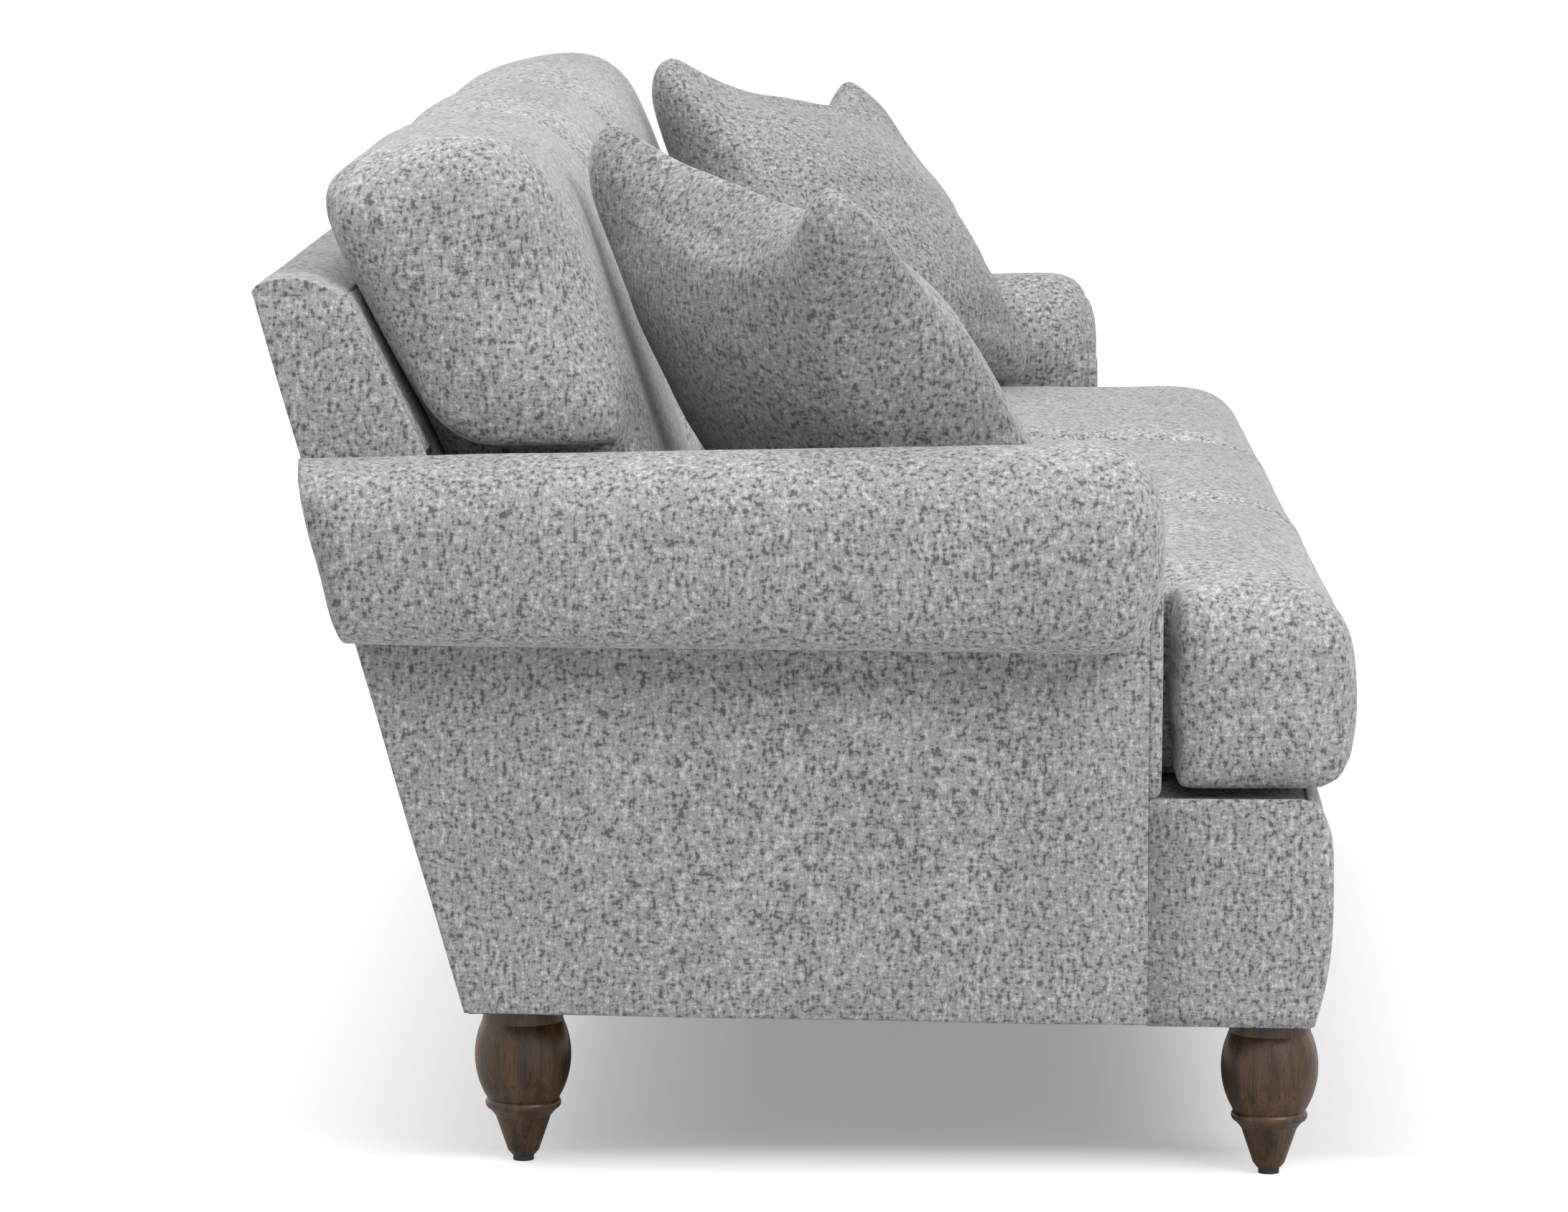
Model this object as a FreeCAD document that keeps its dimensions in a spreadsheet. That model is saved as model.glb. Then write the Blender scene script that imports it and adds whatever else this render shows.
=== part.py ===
"""English roll arm sofa with T-shaped seat cushions, loose back cushions and two throw pillows.

Frame: millimetres, +Z up, X across the width, the front faces -Y, the origin on the floor
under the middle of the sofa. Right-hand pieces lie at +X and are mirrored for the left.
"""
import FreeCAD
import Part
import Sketcher
import math
import os

Vector = FreeCAD.Vector

# ---------------------------------------------------------------- driving dimensions
DRIVING = (
    # general
    ("fit", 0.3, "clearance between pieces that lie against each other"),
    ("cover", 4.0, "cloth with its lining, stretched over the frame"),
    # width
    ("seat_width", 610.0, "middle seat cushion"),
    ("end_seat_width", 623.5, "outer seat cushion, from its neighbour to the arm"),
    ("cushion_gap", 3.0, "gap between neighbouring cushions, and from cushion to arm"),
    ("arm_thickness", 75.0, "upright part of the arm, covers included"),
    ("arm_frame_thickness", 44.0, "timber inside the arm"),
    # depth
    ("sofa_depth", 981.0, "front of the seat cushions to the top rear edge of the back"),
    ("base_setback", 22.5, "front of the base behind the front of the cushions"),
    ("border_crown", 15.0, "how far the padded front bulges"),
    ("border_padding", 8.0, "padding of the front at its edges"),
    ("arm_setback", 176.5, "front of the arm behind the front of the cushions"),
    ("back_thickness", 82.5, "back at its top edge"),
    ("outer_rake", 15.87, "outside of the back, degrees from upright"),
    ("inner_rake", 26.25, "inside of the back, degrees from upright"),
    # height
    ("leg_height", 158.0, "floor to the underside of the seat frame"),
    ("rail_height", 165.0, "seat rails"),
    ("deck_height", 358.0, "floor to the deck under the cushions"),
    ("rear_edge_height", 802.0, "floor to the top rear edge of the back"),
    ("top_cap_height", 16.5, "padding over the top of the back"),
    ("top_ridge_setback", 27.5, "highest line of that padding in front of its rear edge"),
    ("top_rear_curve", 41.25, "outline radius of that padding behind its highest line"),
    ("top_front_curve", 123.75, "outline radius of that padding in front of it"),
    ("hem_front", 145.0, "lower edge of the covers at the front"),
    ("hem_rear", 156.0, "lower edge of the covers at the rear"),
    # timber
    ("front_rail_thickness", 22.0, "front seat rail"),
    ("rail_thickness", 30.0, "side and rear seat rails"),
    ("cross_rail_width", 40.0, "rails from front to rear"),
    ("cross_rail_height", 80.0, "rails from front to rear"),
    ("rear_rail_inset", 15.0, "rear seat rail in front of the outside back at its foot"),
    ("block_size", 90.0, "leg of a corner block"),
    ("block_height", 40.0, "corner block"),
    ("rib_thickness", 22.0, "ribs inside the back"),
    ("top_rail_height", 26.0, "rail along the top of the back"),
    ("lower_rail_bottom", 400.0, "floor to the lower rails of the back"),
    ("lower_rail_height", 60.0, "lower rails of the back"),
    ("lower_rail_thickness", 25.0, "lower rails of the back"),
    ("arm_post_depth", 45.0, "front post of the arm"),
    ("arm_rail_top", 515.0, "floor to the top of the arm's rail"),
    ("arm_rail_height", 45.0, "rail along the top of the arm frame"),
    # arm roll
    ("roll_height", 579.0, "floor to the axis of the arm roll"),
    ("roll_overhang", 7.5, "axis of the roll outside the outer arm panel"),
    ("roll_front_radius", 90.0, "arm roll behind its front"),
    ("roll_rear_radius", 78.0, "arm roll where it meets the back"),
    ("roll_drop", 9.0, "fall of the roll's top from its front to the back cushions"),
    ("facing_depth", 37.0, "padded front of the roll"),
    ("facing_rounding", 32.0, "rounding of the padded front"),
    ("stem_facing_depth", 14.0, "padded front of the upright part of the arm"),
    # springs and padding
    ("spring_wire", 3.8, "diameter of the sinuous spring wire"),
    ("spring_spacing", 122.0, "from one seat spring to the next"),
    ("spring_bar", 28.0, "straight part of a spring's cross bar"),
    ("clip_plate", 2.0, "sheet of a spring clip"),
    ("clip_width", 22.0, "spring clip across the sofa"),
    ("clip_depth", 16.0, "spring clip from front to rear"),
    ("deck_cloth", 3.0, "cloth over the seat deck"),
    ("back_padding", 28.0, "padding of the inside back, front to rear"),
    ("webbing_thickness", 2.0, "elastic webbing of the back"),
    ("webbing_width", 60.0, "elastic webbing of the back"),
    ("webbing_spacing", 140.0, "from one strap to the next"),
    ("dust_sheet", 1.2, "black cloth under the frame"),
    ("window_gap", 0.9, "black cloth round a leg plate"),
    # cushions
    ("cushion_cloth", 3.0, "sewn cover of a cushion with its wadding"),
    ("seat_thickness", 182.0, "seat cushion"),
    ("seat_corner", 46.0, "rounding of a seat cushion seen from above"),
    ("seat_top_rounding", 44.0, "upper edge of a seat cushion"),
    ("seat_foot_rounding", 34.0, "lower edge of a seat cushion"),
    ("ear_inner_rounding", 10.0, "corner where a seat cushion turns round the arm"),
    ("ear_width", 45.0, "seat cushion in front of the arm"),
    ("ear_gap", 13.0, "between the arm's front and the cushion in front of it"),
    ("back_gap", 2.0, "between a back cushion and the padding behind it"),
    ("back_foot_depth", 168.0, "back cushion where it stands on the seat"),
    ("front_rake", 19.0, "front of a back cushion, degrees from upright"),
    ("crown_height", 941.0, "floor to the front upper corner of a back cushion, before rounding"),
    ("crown_rear_height", 894.0, "floor to its rear upper corner, before rounding"),
    ("crown_rounding", 62.0, "front upper edge of a back cushion"),
    ("crown_rear_rounding", 34.0, "rear upper edge of a back cushion"),
    ("back_side_rounding", 26.0, "side edges of a back cushion"),
    ("back_ear_width", 50.0, "back cushion over the arm"),
    ("back_ear_lift", 2.5, "back cushion over the top of the arm roll"),
    ("pillow_size", 424.0, "filled throw pillow, edge to edge"),
    ("pillow_thickness", 150.0, "throw pillow at its middle"),
    ("pillow_edge", 6.0, "sewn edge of a throw pillow"),
    ("pillow_turn", 30.0, "turn of a pillow towards the middle, degrees"),
    ("pillow_lean", 36.8, "lean of a pillow, degrees"),
    ("pillow_roll", 8.0, "tilt of a pillow in its own plane, degrees"),
    ("pillow_inset", 138.0, "middle of a pillow inside the arm's inner face"),
    ("pillow_forward", 127.0, "middle of a pillow in front of the back cushions' foot"),
    # legs
    ("leg_top_radius", 34.0, "turned leg at its top"),
    ("leg_shoulder_radius", 37.0, "turned leg above its bulb"),
    ("leg_shoulder_height", 130.0, "floor to the top of the bulb"),
    ("leg_bulb_curve", 77.0, "radius of the bulb's outline"),
    ("leg_neck_radius", 32.5, "turned leg under its bulb"),
    ("leg_neck_height", 57.7, "floor to the neck"),
    ("leg_bead_curve", 5.6, "radius of the bead's outline"),
    ("leg_bead_radius", 30.5, "turned leg under its bead"),
    ("leg_bead_height", 48.0, "floor to the underside of the bead"),
    ("leg_cone_radius", 25.2, "top of the tapered foot"),
    ("leg_cone_height", 41.5, "floor to the top of the tapered foot"),
    ("leg_tip_radius", 14.3, "tapered foot above its rounded end"),
    ("leg_tip_height", 9.5, "floor to the rounded end"),
    ("leg_end_radius", 10.5, "flat end of the foot"),
    ("glide_height", 5.0, "felt and plastic disc under a foot"),
    ("glide_radius", 9.5, "felt and plastic disc under a foot"),
    ("front_leg_side", 68.5, "front leg inside the outer arm panel"),
    ("front_leg_setback", 51.9, "front leg behind the front of the base"),
    ("rear_leg_side", 112.5, "rear leg inside the outer arm panel"),
    ("rear_leg_setback", 46.7, "rear leg in front of the outside back at its foot"),
    ("plate_size", 56.0, "steel plate over a leg"),
    ("plate_thickness", 2.5, "steel plate over a leg"),
    ("bolt_radius", 4.0, "hanger bolt of a leg"),
    ("bolt_depth", 38.0, "hanger bolt inside the leg"),
    ("support_radius", 22.0, "middle support leg at its top"),
    ("support_foot_radius", 16.0, "middle support leg at its foot"),
    ("support_setback", 430.0, "middle support leg behind the front of the cushions"),
)
SPRING_COUNT = 15
SPRING_BENDS = 15
# Straps on each side of the middle, in steps of their spacing. The long step passes a rib.
STRAP_STEPS = (0.5, 1.5, 2.86, 3.86, 4.86, 5.86)
HALF_TURN_SLACK = 0.001
EDGE_SLACK = 0.01

doc = FreeCAD.newDocument("roll_arm_sofa")
sheet = doc.addObject("Spreadsheet::Sheet", "Sizes")


class Size:
    """A length or angle: its number now, and the formula that ties it to the sheet."""

    def __init__(self, number, formula):
        self.number = number
        self.formula = formula

    def joined(self, sign, other, number):
        return Size(number, f"({self.formula} {sign} {other.formula})")

    def __add__(self, other):
        other = as_size(other)
        return self.joined("+", other, self.number + other.number)

    def __sub__(self, other):
        other = as_size(other)
        return self.joined("-", other, self.number - other.number)

    def __mul__(self, other):
        other = as_size(other)
        return self.joined("*", other, self.number * other.number)

    def __truediv__(self, other):
        other = as_size(other)
        return self.joined("/", other, self.number / other.number)

    def __neg__(self):
        return Size(-self.number, f"(0 - {self.formula})")


def as_size(value):
    return value if isinstance(value, Size) else Size(float(value), f"({float(value)})")


def tan(angle):
    return Size(math.tan(math.radians(angle.number)), f"tan({angle.formula})")


def sin(angle):
    return Size(math.sin(math.radians(angle.number)), f"sin({angle.formula})")


def cos(angle):
    return Size(math.cos(math.radians(angle.number)), f"cos({angle.formula})")


class Sizes:
    """Every driving dimension by its name."""


S = Sizes()
for row, (alias, value, note) in enumerate(DRIVING, start=1):
    sheet.set(f"A{row}", note)
    sheet.set(f"B{row}", str(value))
    sheet.setAlias(f"B{row}", alias)
    setattr(S, alias, Size(value, f"Sizes.{alias}"))
doc.recompute()

ZERO = as_size(0)

# ---------------------------------------------------------------- places worked out from them
ARM_INNER = S.seat_width / 2 + S.end_seat_width - S.cushion_gap / 2 + S.cushion_gap
ARM_OUTER = ARM_INNER + S.arm_thickness
FRAME_OUTER = ARM_OUTER - S.cover - S.fit
ARM_FRAME_INNER = FRAME_OUTER - S.arm_frame_thickness
FRONT = -(S.sofa_depth / 2)
BASE_FRONT = FRONT + S.base_setback
BASE_EDGE = BASE_FRONT + S.border_crown
RAIL_FACE = BASE_EDGE + S.border_padding
ARM_FRONT = FRONT + S.arm_setback
ROLL_START = ARM_FRONT + S.facing_depth
STEM_START = ARM_FRONT + S.stem_facing_depth
RAIL_TOP = S.leg_height + S.rail_height
DECK_PAD_BOTTOM = RAIL_TOP + S.clip_plate * 2 + S.spring_wire + S.fit * 3
SEAT_BOTTOM = S.deck_height + S.fit
SEAT_TOP = SEAT_BOTTOM + S.seat_thickness
POST_TOP = S.rear_edge_height - S.cover - S.fit - S.top_rail_height - S.fit
CAP_BOTTOM = S.rear_edge_height - S.cover
ROLL_AXIS = ARM_OUTER + S.roll_overhang
ROLL_TOP = S.roll_height + S.roll_front_radius
BACK_SHOULDER = ROLL_TOP - S.roll_drop


def rear_at(height):
    """Outside face of the back at a height."""
    return S.sofa_depth / 2 - (S.rear_edge_height - height) * tan(S.outer_rake)


def inner_at(height):
    """Inside face of the back at a height."""
    return S.sofa_depth / 2 - S.back_thickness - (S.rear_edge_height - height) * tan(S.inner_rake)


def upright_at(place_along):
    """A face that doesn't lean, as a function of height."""
    return lambda height: place_along


def timber_front_at(height):
    """Front of the back's timber: behind the padding and the webbing."""
    return inner_at(height) + S.back_padding + S.webbing_thickness + S.fit * 2


def timber_rear_at(height):
    """Back of the back's timber: in front of the outside cover."""
    return rear_at(height) - S.cover - S.fit


REAR_RAIL_BACK = rear_at(S.leg_height) - S.rear_rail_inset
REAR_RAIL_FRONT = REAR_RAIL_BACK - S.rail_thickness
FRONT_RAIL_BACK = RAIL_FACE + S.front_rail_thickness
SIDE_RAIL_OUTER = ARM_FRAME_INNER - S.fit
SIDE_RAIL_INNER = SIDE_RAIL_OUTER - S.rail_thickness
RIB_PLACE = S.seat_width / 2
SPRING_START = FRONT_RAIL_BACK - S.front_rail_thickness / 2
SPRING_END = REAR_RAIL_BACK - S.rail_thickness / 2
SPRING_PITCH = (SPRING_END - SPRING_START) / SPRING_BENDS
SPRING_ROW = S.spring_spacing * (SPRING_COUNT - 1)
BACK_FOOT_FRONT = inner_at(SEAT_TOP) - S.back_gap - S.back_foot_depth
FRONT_LEG = (ARM_OUTER - S.front_leg_side, BASE_FRONT + S.front_leg_setback)
REAR_LEG = (ARM_OUTER - S.rear_leg_side, rear_at(S.leg_height) - S.rear_leg_setback)
SUPPORT_LEG = (ZERO, FRONT + S.support_setback)
LEG_TOP = S.leg_height - S.plate_thickness

nodes = {}


# ---------------------------------------------------------------- making pieces
def tie(target, prop, size):
    target.setExpression(prop, as_size(size).formula)


def node(piece, name):
    """Keep a finished piece under its own name."""
    piece.Label = name
    nodes[name] = piece
    return piece


def place(piece, x=ZERO, y=ZERO, z=ZERO):
    for axis, size in zip("xyz", (x, y, z)):
        if size is not ZERO:
            tie(piece, f"Placement.Base.{axis}", size)


def box(name, x, y, z):
    """A block between two corners, given as a low and a high value on each axis."""
    piece = doc.addObject("Part::Box", name)
    for prop, (low, high) in zip(("Length", "Width", "Height"), (x, y, z)):
        tie(piece, prop, as_size(high) - low)
    place(piece, x[0], y[0], z[0])
    return piece


def cylinder(name, radius, x, y, z):
    """An upright round bar between two heights."""
    piece = doc.addObject("Part::Cylinder", name)
    tie(piece, "Radius", radius)
    tie(piece, "Height", as_size(z[1]) - z[0])
    place(piece, x, y, z[0])
    return piece


def arc_between(start, end, radius):
    """Arc from start to end; a positive radius turns anticlockwise, a negative one clockwise."""
    chord = end - start
    across = Vector(-chord.y, chord.x, 0).normalize()
    reach = math.sqrt(max(radius * radius - chord.Length * chord.Length / 4, 0))
    centre = (start + end) / 2 + across * (reach if radius > 0 else -reach)
    circle = Part.Circle(centre, Vector(0, 0, 1), abs(radius))
    first, last = (start, end) if radius > 0 else (end, start)
    angles = [math.atan2(p.y - centre.y, p.x - centre.x) for p in (first, last)]
    return Part.ArcOfCircle(circle, angles[0], angles[1])


def outline(body, name, role, points, closed=True):
    """A sketch through points (a, b) or (a, b, radius), the radius bending the next edge."""
    sketch = body.newObject("Sketcher::SketchObject", name)
    plane = [item for item in body.Origin.OriginFeatures if item.Role == role][0]
    sketch.AttachmentSupport = [(plane, "")]
    sketch.MapMode = "FlatFace"
    corners = [Vector(as_size(p[0]).number, as_size(p[1]).number, 0) for p in points]
    last = len(points) if closed else len(points) - 1
    ends = []
    for index in range(last):
        start, end = corners[index], corners[(index + 1) % len(corners)]
        radius = points[index][2] if len(points[index]) > 2 else None
        if radius is None:
            sketch.addGeometry(Part.LineSegment(start, end), False)
            ends.append((1, 2))
        else:
            sketch.addGeometry(arc_between(start, end, radius.number), False)
            ends.append((1, 2) if radius.number > 0 else (2, 1))
    for index in range(last):
        following = (index + 1) % last
        if closed or following:
            joint = ("Coincident", index, ends[index][1], following, ends[following][0])
            sketch.addConstraint(Sketcher.Constraint(*joint))
    for index, point in enumerate(points):
        edge = min(index, last - 1)
        end = ends[edge][0] if index < last else ends[edge][1]
        for kind, value in zip(("DistanceX", "DistanceY"), point):
            value = as_size(value)
            constraint = Sketcher.Constraint(kind, -1, 1, edge, end, value.number)
            tie(sketch, f"Constraints[{sketch.addConstraint(constraint)}]", value)
        if len(point) > 2:
            chord = corners[(index + 1) % len(corners)] - corners[index]
            curve = abs(point[2].number)
            if abs(chord.Length - curve * 2) < HALF_TURN_SLACK:
                value = as_size(point[0])
                constraint = Sketcher.Constraint("DistanceX", -1, 1, index, 3, value.number)
                tie(sketch, f"Constraints[{sketch.addConstraint(constraint)}]", value)
                continue
            constraint = Sketcher.Constraint("Radius", index, curve)
            size = point[2] if point[2].number > 0 else -point[2]
            tie(sketch, f"Constraints[{sketch.addConstraint(constraint)}]", size)
    return sketch


def prism(name, role, points, span):
    """An outline on one of the body's planes, padded between two values along its normal."""
    body = doc.addObject("PartDesign::Body", name)
    profile = outline(body, f"{name}_outline", role, points)
    pad = body.newObject("PartDesign::Pad", f"{name}_pad")
    pad.Profile = profile
    tie(pad, "Length", as_size(span[1]) - span[0])
    along = {"YZ_Plane": "x", "XZ_Plane": "y", "XY_Plane": "z"}[role]
    start = span[1] if along == "y" else span[0]
    tie(body, f"Placement.Base.{along}", start)
    return body


def rounded(body, name, radius, wanted):
    """Fillet the edges of a body that a test on the edge picks out."""
    doc.recompute()
    base = body.Tip
    edges = [f"Edge{i}" for i, edge in enumerate(base.Shape.Edges, start=1) if wanted(edge)]
    fillet = body.newObject("PartDesign::Fillet", name)
    fillet.Base = (base, edges)
    tie(fillet, "Radius", radius)
    return fillet


def cut(name, base, *tools):
    tool = tools[0]
    if len(tools) > 1:
        tool = doc.addObject("Part::MultiFuse", f"{name}_tools")
        tool.Shapes = list(tools)
    piece = doc.addObject("Part::Cut", name)
    piece.Base = base
    piece.Tool = tool
    return piece


def common(name, *pieces):
    piece = doc.addObject("Part::MultiCommon", name)
    piece.Shapes = list(pieces)
    return piece


def fused(name, *pieces):
    piece = doc.addObject("Part::MultiFuse", name)
    piece.Shapes = list(pieces)
    return piece


def mirrored(name, source):
    piece = doc.addObject("Part::Mirroring", name)
    piece.Source = source
    piece.Base = Vector(0, 0, 0)
    piece.Normal = Vector(1, 0, 0)
    return piece


def group(name, *pieces):
    """Separate solids of one kind, kept as one piece."""
    piece = doc.addObject("Part::Compound", name)
    piece.Links = list(pieces)
    return node(piece, name)


def both_sides(name, right):
    """Keep a right-hand piece and its mirror image on the left."""
    node(right, f"{name}_right")
    node(mirrored(f"{name}_left", right), f"{name}_left")


def row_of(body, name, feature, axis, length, count):
    """Repeat the feature of a body at even steps along one of its sketch's axes."""
    doc.recompute()
    pattern = body.newObject("PartDesign::LinearPattern", name)
    pattern.Originals = [feature]
    pattern.Direction = (feature.Profile[0], [axis])
    tie(pattern, "Length", length)
    pattern.Occurrences = count
    body.Tip = pattern


def upright(edge):
    return abs(edge.tangentAt(edge.FirstParameter).z) > 1 - EDGE_SLACK


def flat_at(edge, height):
    box_of = edge.BoundBox
    return box_of.ZLength < EDGE_SLACK and abs(box_of.ZMin - height) < EDGE_SLACK


def edge_along_x(edge, y, z):
    """True for an edge across the sofa through a place in the side view."""
    middle = edge.BoundBox.Center
    across = edge.BoundBox.XLength > edge.BoundBox.YLength + edge.BoundBox.ZLength
    return across and abs(middle.y - y) < EDGE_SLACK and abs(middle.z - z) < EDGE_SLACK


def side_edge(edge, x):
    box_of = edge.BoundBox
    return box_of.XLength < EDGE_SLACK and abs(box_of.XMin - x) < EDGE_SLACK


def raked_sheet(name, x, z, front, rear):
    """A slab across the sofa between two raked faces, given as functions of height."""
    low, high = z
    points = [(front(low), low), (rear(low), low), (rear(high), high), (front(high), high)]
    return prism(name, "YZ_Plane", points, x)


# ---------------------------------------------------------------- seat frame
def seat_frame():
    front_span = (RAIL_FACE, FRONT_RAIL_BACK)
    heights = (S.leg_height, RAIL_TOP)
    node(box("seat_rail_front", (-FRAME_OUTER, FRAME_OUTER), front_span, heights), "seat_rail_front")
    rear_x = (S.fit - SIDE_RAIL_INNER, SIDE_RAIL_INNER - S.fit)
    rear_y = (REAR_RAIL_FRONT, REAR_RAIL_BACK)
    node(box("seat_rail_rear", rear_x, rear_y, heights), "seat_rail_rear")
    side_y = (FRONT_RAIL_BACK + S.fit, REAR_RAIL_BACK)
    side = box("seat_rail_right", (SIDE_RAIL_INNER, SIDE_RAIL_OUTER), side_y, heights)
    both_sides("seat_rail", side)
    rails = []
    cross_y = (FRONT_RAIL_BACK + S.fit, REAR_RAIL_FRONT - S.fit)
    cross_z = (S.leg_height, S.leg_height + S.cross_rail_height)
    half = S.cross_rail_width / 2
    for index, middle in enumerate((-RIB_PLACE, ZERO, RIB_PLACE)):
        rails.append(box(f"cross_rail_{index}", (middle - half, middle + half), cross_y, cross_z))
    group("cross_rails", *rails)
    blocks = []
    block_z = (S.leg_height, S.leg_height + S.block_height)
    corner_x = SIDE_RAIL_INNER - S.fit
    for end, corner_y, reach in (
        ("front", FRONT_RAIL_BACK + S.fit, S.block_size),
        ("rear", REAR_RAIL_FRONT - S.fit, -S.block_size),
    ):
        points = [(corner_x, corner_y), (corner_x, corner_y + reach), (corner_x - S.block_size, corner_y)]
        block = prism(f"corner_block_{end}", "XY_Plane", points, block_z)
        blocks += [block, mirrored(f"corner_block_{end}_left", block)]
    group("corner_blocks", *blocks)


# ---------------------------------------------------------------- back frame
def back_frame():
    low, high = S.leg_height, POST_TOP
    points = [
        (timber_front_at(low), low),
        (timber_rear_at(low), low),
        (timber_rear_at(high), high),
        (timber_front_at(high), high),
    ]
    post = prism("back_post_right", "YZ_Plane", points, (ARM_FRAME_INNER, FRAME_OUTER))
    both_sides("back_post", post)
    half = S.rib_thickness / 2
    span = (RIB_PLACE - half, RIB_PLACE + half)
    rib = raked_sheet("back_rib", span, (RAIL_TOP + S.fit, POST_TOP), timber_front_at, timber_rear_at)
    group("back_ribs", rib, mirrored("back_rib_left", rib))
    rail_z = (POST_TOP + S.fit, POST_TOP + S.fit + S.top_rail_height)
    rail_x = (-FRAME_OUTER, FRAME_OUTER)
    node(raked_sheet("back_top_rail", rail_x, rail_z, timber_front_at, timber_rear_at), "back_top_rail")
    lower_z = (S.lower_rail_bottom, S.lower_rail_bottom + S.lower_rail_height)

    def lower_rear(height):
        return timber_front_at(height) + S.lower_rail_thickness

    inner_edge = RIB_PLACE - half - S.fit
    middle = raked_sheet("lower_rail_middle", (-inner_edge, inner_edge), lower_z, timber_front_at, lower_rear)
    end_x = (RIB_PLACE + half + S.fit, ARM_FRAME_INNER - S.fit)
    end = raked_sheet("lower_rail_end", end_x, lower_z, timber_front_at, lower_rear)
    group("back_lower_rails", middle, end, mirrored("lower_rail_end_left", end))


# ---------------------------------------------------------------- arm frame, pads and roll
def behind_inner_back(name, low, high):
    """The room of the back between the arms' outer panels, which the roll stops at."""
    reach = rear_at(high) + S.sofa_depth
    points = [(inner_at(low) - S.fit, low), (reach, low), (reach, high), (inner_at(high) - S.fit, high)]
    return prism(name, "YZ_Plane", points, (ZERO, ARM_OUTER + S.fit))


def roll_cone(name, shrink):
    """The tapered roll of the arm, from behind its facing to past the outside back."""
    piece = doc.addObject("Part::Cone", name)
    length = rear_at(S.roll_height) - ROLL_START
    reach = S.roll_front_radius * 2
    taper = (S.roll_front_radius - S.roll_rear_radius) / length
    tie(piece, "Radius1", S.roll_front_radius - shrink)
    tie(piece, "Radius2", S.roll_rear_radius - shrink - reach * taper)
    tie(piece, "Height", length + reach)
    piece.Placement = FreeCAD.Placement(Vector(), FreeCAD.Rotation(Vector(1, 0, 0), -90))
    place(piece, ROLL_AXIS, ROLL_START, S.roll_height)
    return piece


def behind_outside_back(name):
    """Everything behind the outside back, where the rolls end."""
    low, high = S.leg_height, S.rear_edge_height
    reach = rear_at(high) + S.sofa_depth
    points = [(rear_at(low), low), (reach, low), (reach, high), (rear_at(high), high)]
    return prism(name, "YZ_Plane", points, (ZERO, ARM_OUTER * 2))


def arm():
    post_y = (STEM_START + S.fit, STEM_START + S.fit + S.arm_post_depth)
    arm_x = (ARM_FRAME_INNER, FRAME_OUTER)
    rail_z = (S.arm_rail_top - S.arm_rail_height, S.arm_rail_top)
    post = box("arm_post_right", arm_x, post_y, (S.leg_height, rail_z[0] - S.fit))
    both_sides("arm_post", post)

    def rail_rear(height):
        return timber_front_at(height) - S.fit

    rail = raked_sheet("arm_top_rail_right", arm_x, rail_z, upright_at(post_y[0]), rail_rear)
    both_sides("arm_top_rail", rail)

    back_room = behind_inner_back("back_room", S.leg_height, S.rear_edge_height)
    beyond = behind_outside_back("beyond_back")
    rail_x = (ARM_FRAME_INNER - S.fit, FRAME_OUTER + S.fit)
    rail_y = (ARM_FRONT, rear_at(S.arm_rail_top))
    rail_room = box("arm_rail_room", rail_x, rail_y, (S.leg_height, S.arm_rail_top + S.fit))
    core_cone = roll_cone("roll_core", S.cover + S.fit)
    both_sides("arm_roll_core", cut("arm_roll_core_right", core_cone, rail_room, back_room, beyond))

    inner_cone = roll_cone("roll_lining", S.cover)
    stem_room = box(
        "arm_stem_room",
        (ARM_INNER, ARM_OUTER + S.fit),
        rail_y,
        (S.leg_height, S.roll_height - S.roll_front_radius + S.arm_rail_height),
    )
    skin_cone = roll_cone("roll_skin", ZERO)
    shell = cut("arm_roll_cover_right", skin_cone, inner_cone, stem_room, back_room, beyond)
    both_sides("arm_roll_cover", shell)

    roll_room = fused("roll_room", roll_cone("roll_room_rear", -S.fit), facing_room())
    pad_z = (RAIL_TOP + S.fit, S.roll_height)

    def pad_rear(height):
        return inner_at(height) - S.fit

    pad_x = (ARM_INNER, ARM_FRAME_INNER - S.fit)
    pad = raked_sheet("arm_pad_block", pad_x, pad_z, upright_at(STEM_START + S.fit), pad_rear)
    both_sides("inside_arm_pad", cut("inside_arm_pad_right", pad, roll_room))

    hem_slope = (S.hem_rear - S.hem_front) / (rear_at(S.leg_height) - BASE_EDGE)
    hem_at_stem = S.hem_front + (STEM_START - BASE_EDGE) * hem_slope
    cover_rear = S.cover + S.fit
    points = [
        (STEM_START + S.fit, hem_at_stem),
        (rear_at(S.hem_rear) - cover_rear, S.hem_rear),
        (rear_at(S.roll_height) - cover_rear, S.roll_height),
        (STEM_START + S.fit, S.roll_height),
    ]
    skin = prism("outside_arm_skin", "YZ_Plane", points, (ARM_OUTER - S.cover, ARM_OUTER))
    both_sides("outside_arm_cover", cut("outside_arm_cover_right", skin, roll_room))


def facing_room():
    """The room that the padded front of the roll fills, with its clearance."""
    disc = doc.addObject("Part::Cylinder", "roll_room_front")
    tie(disc, "Radius", S.roll_front_radius + S.fit)
    tie(disc, "Height", S.facing_depth)
    disc.Placement = FreeCAD.Placement(Vector(), FreeCAD.Rotation(Vector(1, 0, 0), -90))
    place(disc, ROLL_AXIS, ARM_FRONT, S.roll_height)
    return disc


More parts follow.
